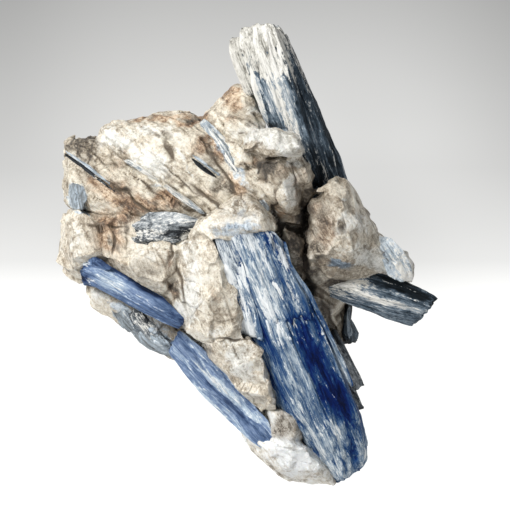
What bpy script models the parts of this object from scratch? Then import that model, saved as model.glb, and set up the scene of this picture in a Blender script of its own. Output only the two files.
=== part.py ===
"""Kyanite blade cluster: blue kyanite blades grown through a broken lump of quartz.

The specimen lies on the flat break at its back, z = 0. +Z looks out of its best side, +Y runs up
its length, and the origin is under the middle of its outline. Sizes are in millimetres until the
last step of each piece, which turns them into metres.

The quartz is one solid, a core with a lump for every grain that shows. Each blade is a solid of
its own, made of flat laths grown side by side, and it sits in a socket of the quartz.
"""

import random
from dataclasses import dataclass

import bmesh
import bpy
from mathutils import Vector

MM = 0.001
FIT_GAP = 0.35  # room between a blade and the quartz around it
BREAK_SHARE = 0.075  # how far a break on a grain stands in or out, as a share of the edge it is on
BREAK_LIMIT = 1.2  # and no further than this
LATH_END_BEVEL = 0.7  # size of a lath's end face against its full section
LATH_END_LENGTH = 1.2  # how far that bevel runs along the lath
CHUNK_GROWTH = 1.5  # a chunk's corners move out this much further, so that its faces clear too

# Materials: linear colour, roughness.
QUARTZ = ("quartz", (0.62, 0.55, 0.44), 0.5)
KYANITE_BLUE = ("kyanite_blue", (0.10, 0.19, 0.36), 0.3)
KYANITE_SLATE = ("kyanite_slate", (0.20, 0.26, 0.32), 0.35)
KYANITE_PALE = ("kyanite_pale", (0.42, 0.48, 0.54), 0.4)


@dataclass
class Grain:
    """A lump of quartz: a rim of corners at its widest, a crown above it and a foot below it."""

    rim: list
    crown: list
    foot_z: float
    foot_share: float = 0.84  # size of the foot's outline against the rim's


@dataclass
class Lath:
    """A flat prism from start to end. Its broad face looks towards facing, its edges are bevelled."""

    start: tuple
    end: tuple
    facing: tuple
    width: float
    thick: float
    end_width: float = 0.0  # 0 keeps the width
    section: str = "plate"
    lean_start: float = 0.0  # mm along the blade per mm out of its face
    lean_end: float = 0.0
    skew_start: float = 0.0  # mm along the blade per mm across its face
    skew_end: float = 0.0


@dataclass
class Chunk:
    """A broken piece of crystal given by its corners. It fills their convex hull."""

    corners: list


# Sections, as shares of half the width across and half the thickness out of the face.
SECTIONS = {
    "plate": [(-1, -0.7), (-0.85, -1), (0.85, -1), (1, -0.7), (1, 0.6), (0.82, 1), (-0.85, 1), (-1, 0.65)],
    "roof": [(-1, -0.5), (-0.8, -1), (0.8, -1), (1, -0.5), (0.95, 0.1), (0.2, 0.95), (0, 1), (-0.92, 0.35)],
    "wedge": [(-1, -0.8), (-0.8, -1), (0.8, -1), (1, -0.6), (1, 0.1), (0.6, 0.8), (-0.7, 1), (-1, 0.8)],
    "round": [(-1, -0.4), (-0.6, -1), (0.6, -1), (1, -0.4), (1, 0.4), (0.6, 1), (-0.6, 1), (-1, 0.4)],
}

CORE = Grain(
    rim=[(-42.5, 26, 13), (-32, 30, 12), (-12, 33, 12), (-1, 36, 12), (13, 26, 14), (26, 14, 12),
         (33, 3, 11), (25, -9, 10), (21.5, -22, 10), (22, -36, 9), (16, -51, 9), (4, -47, 9),
         (-14, -28, 10), (-35, -12, 10), (-45.5, -1, 11), (-45, 13, 12)],
    crown=[(-24, 21, 25), (10, 16, 25), (14, -2, 19), (-5, -19, 23), (-29, -2, 20), (10, -35, 13)],
    foot_z=0.0,
)  # fmt: skip

GRAINS = {
    "shelf": Grain(
        rim=[(-38, 30.5, 21), (-35.5, 33, 20), (-30.5, 33.5, 20), (-25.5, 34.7, 19), (-23, 35.8, 19),
             (-17, 35.8, 20), (-12, 36, 22), (-5, 26, 28), (-2, 14, 31), (-12, 6.5, 29.5),
             (-32, 6, 24), (-39, 10, 22), (-40, 24, 23)],
        crown=[(-33, 24, 27), (-24, 18, 29.5), (-14, 10, 32), (-24, 30, 28), (-12, 29, 31)],
        foot_z=2.0,
    ),
    "shelf_top": Grain(
        rim=[(-36.5, 30, 25), (-34.5, 32, 24), (-30, 32.5, 24), (-24, 34.5, 24), (-18, 34.6, 25),
             (-12, 34.5, 27), (-9.5, 30, 31), (-6, 24, 33.5), (-2.5, 17, 35), (-11, 10.8, 34),
             (-18.5, 15.5, 32.5), (-23.5, 19, 31.5), (-30.5, 23.8, 29.5), (-37, 25.5, 27)],
        crown=[(-33, 29, 29.5), (-25, 29, 31.5), (-16, 29, 33), (-20, 21, 34.5), (-12, 15, 36), (-9, 22, 36)],
        foot_z=16.0,
    ),
    "peak": Grain(
        rim=[(-12, 36, 22), (-8.5, 38.4, 21), (-6, 40.8, 20), (-2.5, 43, 21), (3.5, 32, 27),
             (1.5, 25, 30), (-8, 27, 30)],
        crown=[(-2.5, 39.5, 29), (-1, 32.5, 35), (-8, 34, 30), (-5, 29, 34.5)],
        foot_z=5.0,
    ),
    "corner": Grain(
        rim=[(-46.2, 27.5, 18), (-44, 29.7, 19), (-39.5, 29.6, 20), (-36, 22.5, 25), (-39, 15, 25),
             (-46.4, 12, 19)],
        crown=[(-41.5, 26, 26.5), (-42.5, 18.5, 27), (-37.5, 21, 28)],
        foot_z=5.0,
    ),
    "left_lump": Grain(
        rim=[(-46.4, 11, 19), (-47.9, 0.5, 16), (-47.8, -2.7, 16), (-46, -5.5, 15), (-42, -6.8, 17),
             (-36, -2, 22), (-35.5, 4, 23), (-39, 11, 24), (-43, 11.5, 23)],
        crown=[(-43, 7, 29), (-39.5, 6, 29.5), (-38.5, 0.5, 28), (-44, -1, 25)],
        foot_z=2.0,
    ),
    "hollow_floor": Grain(
        rim=[(-40, 11, 22), (-19.5, 7.5, 27), (-17, -2, 26), (-32, -5, 22), (-38, -2, 21)],
        crown=[(-29.5, 4, 26)],
        foot_z=6.0,
    ),
    "pale_lump": Grain(
        rim=[(-36, -0.5, 24), (-32, 1.5, 27), (-27, 2.4, 28), (-21.5, 2.4, 30), (-18.5, 1, 30),
             (-18.5, -3, 29), (-20.5, -7, 27), (-21.5, -11, 25), (-25, -8.5, 25), (-30.5, -5, 24)],
        crown=[(-26.5, 0, 33), (-22, 0, 35), (-24, -5, 33)],
        foot_z=8.0,
    ),
    "white_lump": Grain(
        rim=[(-15.5, -1, 32), (-18, -4, 29), (-19, -10.5, 27), (-19, -12.5, 26), (-17.5, -16, 26),
             (-15, -15.5, 27), (-12.5, -12, 30), (-10.5, -8, 32), (-12, -2, 34)],
        crown=[(-15.5, -4, 36.5), (-14, -9, 37), (-16.5, -12, 33)],
        foot_z=10.0,
    ),
    "collar": Grain(
        rim=[(-18.5, 2, 30), (-13, 6.6, 33), (-11, 7, 36), (-8, -2, 38), (-5.5, -12, 35), (-10.5, -9, 33)],
        crown=[(-12.5, 4, 40), (-10, -1, 40.5), (-8, -8, 38.5)],
        foot_z=12.0,
    ),
    "upper_wedge": Grain(
        rim=[(-12, -9.3, 31), (-8.5, -9, 33), (-17.5, -17.5, 25), (-9.8, -22.3, 25), (-6, -22.6, 28),
             (-1.5, -20, 30), (-6, -11, 34)],
        crown=[(-11, -11, 36.5), (-14.5, -17, 31), (-8.5, -20.5, 33.5), (-4, -19, 35)],
        foot_z=7.0,
    ),
    "lower_wedge": Grain(
        rim=[(-12.5, -21.5, 23), (-2, -21, 27), (2, -26, 27), (4.5, -40, 22), (5.5, -44, 18),
             (-1.5, -34.5, 19), (-9, -27.5, 21)],
        crown=[(-8.5, -23.5, 29.5), (-0.5, -27, 31), (2.2, -38, 26)],
        foot_z=2.0,
    ),
    "centre_lump": Grain(
        rim=[(-1, 25, 31), (12.5, 26, 31), (15, 24, 30), (16.5, 18, 29), (14.5, 12.5, 29), (11.5, 8, 28),
             (6.5, 12, 33), (2, 19, 35)],
        crown=[(5, 21, 39), (9, 15, 41), (11.5, 21, 40), (13.2, 17.5, 38)],
        foot_z=6.0,
    ),
    "white_block": Grain(
        rim=[(-2, 27, 33), (1.5, 31, 34), (4.5, 32, 35), (12.6, 30, 35), (13, 27, 37), (12, 24, 36),
             (7, 24.8, 38), (-1, 25.5, 36)],
        crown=[(4.5, 31, 41), (11.5, 29, 42.5), (11, 25.2, 43), (3, 26, 41)],
        foot_z=16.0,
    ),
    "right_lump": Grain(
        rim=[(21, 20.5, 27), (24.5, 18.5, 24), (26.3, 15.8, 22), (30, 11.2, 20), (33.2, 6.8, 19),
             (34.2, 4, 20), (34, -2, 22), (25.5, -4, 25), (19, -3, 26), (14.5, 1, 26), (13.5, 9.5, 28),
             (15.5, 14, 28), (18.6, 16.5, 28)],
        crown=[(18, 10.5, 36), (20.6, 17.5, 34), (22.6, 9.5, 38), (21, 1.5, 36), (27.5, 7, 34),
               (30.5, 2, 30)],
        foot_z=2.0,
    ),
    "shoulder": Grain(
        rim=[(32, 6, 18), (36.5, 4, 17), (38.6, 3, 16), (40.2, 1, 16), (41.3, -1.2, 16), (41.8, -4, 16),
             (41.6, -7, 15), (35.5, -8, 16), (28.5, -5, 18)],
        crown=[(35, 1, 25), (38, -2, 24), (34, -4, 26)],
        foot_z=5.0,
    ),
    "blade_root": Grain(
        rim=[(13, 1, 20), (20.5, -2, 22), (29.5, -3, 21), (30.5, -7.4, 18), (23.6, -10.8, 16),
             (17, -12, 16), (12, -8, 18)],
        crown=[(19.5, -5, 28), (25.5, -5, 27), (20.5, -9, 25.5)],
        foot_z=2.0,
    ),
    "knob_quartz": Grain(
        rim=[(16, -10, 15), (22, -10, 15), (23.2, -13, 14), (22, -18, 14), (23, -23, 12), (20.5, -24, 13),
             (17, -17, 15)],
        crown=[(19.5, -13, 23), (20, -19, 20)],
        foot_z=3.0,
    ),
    "grey_quartz": Grain(
        rim=[(5, -39, 20), (10.5, -40, 22), (13, -45, 19), (12, -49, 17), (6, -50, 15), (4, -46.5, 15)],
        crown=[(7.5, -42, 27), (10.5, -45, 25), (7, -47.5, 22)],
        foot_z=4.0,
    ),
    "white_tip": Grain(
        rim=[(-2.6, -45, 11), (-0.6, -47.8, 11), (2.3, -49.2, 11), (5.2, -51.2, 11), (7, -53.8, 11),
             (8.6, -56, 11), (13.5, -56.8, 12), (20.6, -57.8, 12), (24, -56.4, 13), (14.5, -46, 18),
             (6, -47, 17)],
        crown=[(8.5, -50.5, 22), (14, -52, 22), (13, -55.5, 18)],
        foot_z=4.0,
    ),
    "low_left": Grain(
        rim=[(-40, -8, 14), (-40.6, -10.6, 13), (-39.4, -12.2, 12), (-36, -13.2, 12), (-31.8, -16.6, 12),
             (-28.6, -20.2, 12), (-24, -23, 12), (-19, -25.8, 12), (-16, -27, 13), (-15, -22, 16),
             (-24.5, -12.5, 18), (-34.5, -7.5, 17)],
        crown=[(-37, -11, 19), (-29, -14.5, 20.5), (-20, -19, 19)],
        foot_z=2.0,
    ),
}  # fmt: skip

PITS = {
    "brown_pit": [(-15.5, 28.4, 40), (-10.5, 29, 40), (-6, 21.5, 40), (-8.6, 20, 40), (-14, 24.4, 40),
                  (-13.6, 27, 29.5), (-10.8, 27.4, 29.5), (-8, 22.6, 30.5)],
    "shelf_gash": [(-34, 24.5, 36), (-31.5, 26, 36), (-26, 20.5, 36), (-29, 19, 36), (-31, 23.5, 27.5),
                   (-28, 21, 28)],
    "hollow": [(-35.5, 5.5, 40), (-31, 6.2, 40), (-30.2, 1.5, 40), (-34.5, 0.6, 40), (-34, 4, 24),
               (-31.5, 4.5, 24), (-32, 2, 24)],
}  # fmt: skip

BLADES = {
    "main_blade_bundle": [
        Chunk([(-12.3, 6.6, 40.5), (-9, 7, 43.4), (7.8, 7, 43.6), (-8.1, 10.6, 38), (0.3, 16.2, 34.5),
               (3.7, 13.8, 36), (6, 10.6, 39.5), (-4.5, 13.6, 36), (-9, 0, 30), (8, 0, 30),
               (-0.5, 12.5, 25), (-1, 8, 44.4), (-7, 1, 38), (7, 1, 38.5)]),
        Lath((-0.5, 7, 34), (21.5, -50, 13), (0.1, -0.25, 0.95), 17, 19, end_width=13, lean_end=-0.2),
        Lath((-8.4, 6.9, 37), (9.5, -43.4, 18), (-0.6, -0.15, 0.75), 7.4, 9, lean_start=0.3),
        Lath((-4.2, 7.2, 41.2), (20.2, -55.6, 18.6), (-0.12, -0.25, 0.95), 7.4, 6, lean_start=0.45,
             lean_end=-0.6),
        Lath((2.9, 7.4, 42), (13, -16.8, 34.4), (0, -0.25, 0.95), 7.2, 5, lean_start=0.45, lean_end=-0.7),
        Lath((9.2, -12, 34.6), (22, -56.6, 18.2), (0.05, -0.25, 0.95), 6.6, 6, lean_end=-0.5),
        Lath((11.9, -14, 32.6), (26.2, -55.2, 17.2), (0.25, -0.25, 0.93), 6.6, 6, end_width=8.4,
             lean_end=-0.3, skew_end=-0.2),
        Lath((9, 6.4, 38.6), (25.2, -34, 25.4), (0.5, -0.15, 0.85), 4.4, 9, end_width=5, lean_start=0.4),
        Lath((3.5, -24, 27.6), (17.4, -52, 15), (-0.55, -0.2, 0.8), 6, 6),
        Lath((19.5, -22, 17), (26, -51, 11), (0.75, -0.1, 0.65), 7, 7),
        Lath((19, -19.6, 13), (26.4, -33.2, 11), (0.3, 0.1, 0.95), 3.4, 7, skew_end=0.4),
        Lath((22.3, -31, 11), (26.8, -38.8, 9.5), (0.3, 0.1, 0.95), 3.2, 6),
    ],
    "upper_blade": [
        Lath((2.1, 56.8, 36.4), (14.2, 12.6, 24), (-0.2, -0.2, 0.95), 9.6, 12, lean_start=-0.3,
             skew_start=0.12),
        Lath((-2.5, 53.2, 35), (7.4, 17, 25.4), (-0.45, -0.2, 0.85), 4.6, 9, lean_start=-0.3, skew_start=0.5),
        Chunk([(6.6, 56.6, 40), (18.2, 15.4, 29), (10.3, 52.6, 31), (26.4, 15.6, 17), (6.2, 56, 28),
               (16, 15, 15), (8.8, 55.4, 34), (3, 50, 30), (12, 15, 20), (17, 39, 25), (20.3, 31.4, 22)]),
        Lath((9.4, 46, 35.4), (22.4, 14.6, 23.4), (0.75, -0.05, 0.62), 2.6, 3),
        Lath((4.6, 49, 40.4), (12.4, 22, 33.4), (-0.1, -0.2, 0.95), 3.4, 3),
    ],
    "right_blade": [
        Lath((22, -5.4, 21), (45.6, -13.8, 17.5), (0.05, -0.1, 0.98), 10, 8.5, section="roof",
             skew_end=-0.4),
        Lath((25, -9.8, 20.6), (43.6, -16.6, 17.4), (0.1, -0.5, 0.85), 4.6, 4.6, skew_end=-0.3),
    ],
    "upper_left_blade": [
        Lath((-40.6, -2.6, 25.2), (-16.8, -17, 26.8), (-0.25, -0.35, 0.9), 5.4, 2.8, skew_start=-0.4,
             skew_end=0.2),
        Lath((-39.8, -1.4, 24.6), (-20, -13.8, 27), (0.35, 0.45, 0.85), 2.6, 3.2),
    ],
    "lower_left_blade": [
        Lath((-18.6, -19.6, 19.4), (4.2, -47.4, 14.4), (-0.35, -0.25, 0.9), 7, 3.6, skew_start=-0.3,
             skew_end=-0.7),
        Lath((-16.4, -18.6, 20.3), (4, -43.2, 15.8), (0.25, 0.15, 0.95), 3, 3.6),
    ],
    "grey_blade": [
        Lath((-30.6, 4.4, 29.6), (-14.6, 7.2, 32), (0, 0.1, 0.95), 6.4, 5, section="round"),
        Lath((-28, 6.4, 29.4), (-17, 8.6, 31.4), (0.1, 0.4, 0.9), 3.4, 4),
    ],
    "shelf_blade": [
        Lath((-10.6, 34, 32.6), (1.4, 17.2, 35.6), (0, 0, 1), 3.2, 3.6),
    ],
    "shelf_needle": [
        Lath((-31, 23.4, 31.2), (-11, 11, 35), (0, 0, 1), 2, 2.6),
    ],
    "dark_needle": [
        Lath((-14.2, 24.2, 34.4), (-7.8, 19.4, 35.6), (0, 0, 1), 1.8, 3),
    ],
    "edge_blade": [
        Lath((-43, 18.2, 26), (-42.2, 11.6, 26), (-0.2, 0, 0.95), 4.4, 4, section="round"),
    ],
    "shoulder_blade": [
        Lath((32.6, 3.6, 23.4), (39.4, -4.6, 22), (0.2, 0.1, 0.95), 5, 5, section="round"),
    ],
    "knob_blade": [
        Lath((21.2, -10, 11), (26.2, -22, 9.5), (0.2, 0, 0.95), 4.6, 6.5, end_width=6, section="round"),
    ],
    "low_dark_blade": [
        Lath((-28.2, -15, 18), (-22.6, -21, 15.2), (-0.2, -0.2, 0.95), 4.8, 4.4),
    ],
    "low_pale_blade": [
        Lath((-33.2, -12.6, 17), (-29.4, -19.2, 13.4), (-0.3, -0.2, 0.9), 3.2, 4.5),
    ],
}  # fmt: skip

BLADE_MATERIALS = {
    "upper_blade": KYANITE_SLATE,
    "right_blade": KYANITE_SLATE,
    "grey_blade": KYANITE_SLATE,
    "dark_needle": KYANITE_SLATE,
    "knob_blade": KYANITE_SLATE,
    "low_dark_blade": KYANITE_SLATE,
    "shelf_blade": KYANITE_PALE,
    "shelf_needle": KYANITE_PALE,
    "edge_blade": KYANITE_PALE,
    "shoulder_blade": KYANITE_PALE,
    "low_pale_blade": KYANITE_PALE,
}  # the others are KYANITE_BLUE


def clear_scene():
    for obj in list(bpy.data.objects):
        bpy.data.objects.remove(obj)


def material(kind):
    name, colour, roughness = kind
    found = bpy.data.materials.get(name)
    if found:
        return found
    made = bpy.data.materials.new(name)
    made.use_nodes = True
    shader = made.node_tree.nodes["Principled BSDF"]
    shader.inputs["Base Color"].default_value = (*colour, 1.0)
    shader.inputs["Roughness"].default_value = roughness
    shader.inputs["Metallic"].default_value = 0.0
    return made


def add_object(name, bm):
    """Puts a bmesh that is in millimetres into the scene as an object in metres."""
    bmesh.ops.scale(bm, vec=(MM, MM, MM), verts=bm.verts)
    mesh = bpy.data.meshes.new(name)
    bm.to_mesh(mesh)
    bm.free()
    obj = bpy.data.objects.new(name, mesh)
    bpy.context.scene.collection.objects.link(obj)
    return obj


def hull(points):
    """The convex hull of some points, as a closed bmesh."""
    bm = bmesh.new()
    for point in points:
        bm.verts.new(point)
    made = bmesh.ops.convex_hull(bm, input=bm.verts)
    inside = [v for v in made["geom_interior"] if isinstance(v, bmesh.types.BMVert)]
    bmesh.ops.delete(bm, geom=inside, context="VERTS")
    loose = [v for v in bm.verts if not v.link_faces]
    bmesh.ops.delete(bm, geom=loose, context="VERTS")
    bmesh.ops.recalc_face_normals(bm, faces=bm.faces)
    return bm


def grain_points(grain):
    """Rim, crown and foot. The foot is the rim drawn in towards its middle, at one height."""
    middle = sum((Vector(p) for p in grain.rim), Vector()) / len(grain.rim)
    foot = []
    for p in grain.rim:
        drawn_in = middle + (Vector(p) - middle) * grain.foot_share
        foot.append((drawn_in.x, drawn_in.y, grain.foot_z))
    return [*grain.rim, *grain.crown, *foot]


def grain_object(name, grain, seed):
    """A grain with each edge halved, and the new corners moved in or out like small breaks."""
    bm = hull(grain_points(grain))
    old = set(bm.verts)
    sides = [e for e in bm.edges if max(v.co.z for v in e.verts) > grain.foot_z + 0.1]
    bmesh.ops.subdivide_edges(bm, edges=sides, cuts=1, use_grid_fill=True)
    bmesh.ops.triangulate(bm, faces=bm.faces)
    bm.normal_update()
    draw = random.Random(seed)
    for v in bm.verts:
        if v not in old:
            longest = max(e.calc_length() for e in v.link_edges)
            reach = min(BREAK_LIMIT, BREAK_SHARE * longest)
            v.co += v.normal * draw.uniform(-reach, reach)
            v.co.z = max(v.co.z, grain.foot_z)
    return add_object(name, bm)


def lath_points(lath, grow=0.0):
    """Four rings of the section along the lath: the two end faces, and the full section inside them."""
    start, end = Vector(lath.start), Vector(lath.end)
    along = (end - start).normalized()
    facing = Vector(lath.facing)
    out = (facing - along * facing.dot(along)).normalized()
    across = along.cross(out)
    length = (end - start).length
    end_width = lath.end_width or lath.width
    rings = (
        (-grow, LATH_END_BEVEL, lath.lean_start, lath.skew_start),
        (LATH_END_LENGTH - grow, 1.0, lath.lean_start, lath.skew_start),
        (length - LATH_END_LENGTH + grow, 1.0, lath.lean_end, lath.skew_end),
        (length + grow, LATH_END_BEVEL, lath.lean_end, lath.skew_end),
    )
    points = []
    for place, share, lean, skew in rings:
        width = lath.width + (end_width - lath.width) * place / length
        half_width = width / 2 * share + grow
        half_thick = lath.thick / 2 * share + grow
        for a, b in SECTIONS[lath.section]:
            side, rise = a * half_width, b * half_thick
            points.append(start + along * (place + lean * rise + skew * side) + across * side + out * rise)
    return points


def combine(target, others, operation):
    """Joins the others to the target, or cuts them from it, in one Boolean, and leaves them out."""
    group = bpy.data.collections.new("operands")
    for other in others:
        group.objects.link(other)
    change = target.modifiers.new(operation, "BOOLEAN")
    change.operation = operation
    change.solver = "EXACT"
    change.operand_type = "COLLECTION"
    change.collection = group
    bpy.context.view_layer.update()
    graph = bpy.context.evaluated_depsgraph_get()
    result = bpy.data.meshes.new_from_object(target.evaluated_get(graph))
    target.modifiers.clear()
    target.data = result
    for other in others:
        bpy.data.objects.remove(other)
    bpy.data.collections.remove(group)


def drop_crumbs(obj):
    """Keeps the largest body, where a socket has cut a crumb of quartz loose."""
    bm = bmesh.new()
    bm.from_mesh(obj.data)
    unseen, bodies = set(bm.verts), []
    while unseen:
        front = [unseen.pop()]
        body = set(front)
        while front:
            here = front.pop()
            reached = {e.other_vert(here) for e in here.link_edges} & unseen
            unseen -= reached
            body |= reached
            front.extend(reached)
        bodies.append(body)
    bodies.sort(key=len)
    for body in bodies[:-1]:
        bmesh.ops.delete(bm, geom=list(body), context="VERTS")
    bm.to_mesh(obj.data)
    bm.free()


def finish(obj, kind):
    """One material, and creases kept sharp."""
    obj.data.materials.clear()
    obj.data.materials.append(material(kind))
    obj.data.shade_flat()


def piece_points(piece, grow=0.0):
    """The corners of a lath or a chunk. A grown chunk has its corners moved away from their middle."""
    if isinstance(piece, Lath):
        return lath_points(piece, grow)
    corners = [Vector(p) for p in piece.corners]
    middle = sum(corners, Vector()) / len(corners)
    return [p + (p - middle).normalized() * grow * CHUNK_GROWTH for p in corners]


def blade_object(name, pieces):
    solids = [add_object(f"{name}_piece", hull(piece_points(piece))) for piece in pieces]
    first, rest = solids[0], solids[1:]
    if rest:
        combine(first, rest, "UNION")
    first.name = name
    return first


def cutter_objects():
    """The pits, and a socket for every piece of every blade, a little larger than the piece."""
    cutters = [add_object(name, hull(corners)) for name, corners in PITS.items()]
    for pieces in BLADES.values():
        cutters.extend(add_object("socket", hull(piece_points(piece, FIT_GAP))) for piece in pieces)
    return cutters


def quartz_object():
    matrix = grain_object("quartz_matrix", CORE, seed=0)
    grains = [grain_object(name, grain, seed) for seed, (name, grain) in enumerate(GRAINS.items(), 1)]
    combine(matrix, grains, "UNION")
    combine(matrix, cutter_objects(), "DIFFERENCE")
    drop_crumbs(matrix)
    return matrix


def main():
    clear_scene()
    finish(quartz_object(), QUARTZ)
    for name, pieces in BLADES.items():
        finish(blade_object(name, pieces), BLADE_MATERIALS.get(name, KYANITE_BLUE))


main()
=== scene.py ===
"""Kyanite blade cluster, dressed: broken quartz, blue blades, a pale floor and soft light.

Lengths in the tables are millimetres. The quartz is made of grains fused together and then broken
into facets. Each blade is a ridged profile carried along its length, with ledges where its plates
end. Colours come from a few broad patches listed in the tables, and from streaks and grain.
"""

from itertools import combinations, product

import bpy
import numpy as np
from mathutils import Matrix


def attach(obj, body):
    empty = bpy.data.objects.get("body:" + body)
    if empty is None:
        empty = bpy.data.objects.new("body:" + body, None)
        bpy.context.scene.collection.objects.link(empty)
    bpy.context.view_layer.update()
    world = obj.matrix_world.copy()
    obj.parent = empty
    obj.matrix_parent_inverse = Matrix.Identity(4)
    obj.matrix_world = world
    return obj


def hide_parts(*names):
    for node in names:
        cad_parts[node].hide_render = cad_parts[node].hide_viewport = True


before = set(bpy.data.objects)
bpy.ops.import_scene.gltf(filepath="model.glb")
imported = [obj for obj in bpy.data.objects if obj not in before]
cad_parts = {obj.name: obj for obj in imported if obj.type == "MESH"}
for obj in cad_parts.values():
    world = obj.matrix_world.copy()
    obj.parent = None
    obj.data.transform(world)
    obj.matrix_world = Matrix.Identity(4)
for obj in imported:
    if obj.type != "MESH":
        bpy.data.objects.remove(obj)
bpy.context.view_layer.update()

MM = 0.001
BLADE_ACROSS = 0.3  # mm between points round a blade
BLADE_ALONG = 0.5  # mm between rings along a blade
UNDER_SIZE = 0.84  # how far a blade's under side is drawn in, as a share of its upper face
END_RINGS = np.array([0.85, 0.66, 0.46, 0.28, 0.12])  # sizes of the rings that close a broken end
FOOT_SIZE = 0.92  # the foot of a quartz grain, as a share of its rim
SHELF_GRAIN = -36  # degrees, the way the shelf's splinters lie

# ---------------------------------------------------------------- tables: quartz grains

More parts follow.
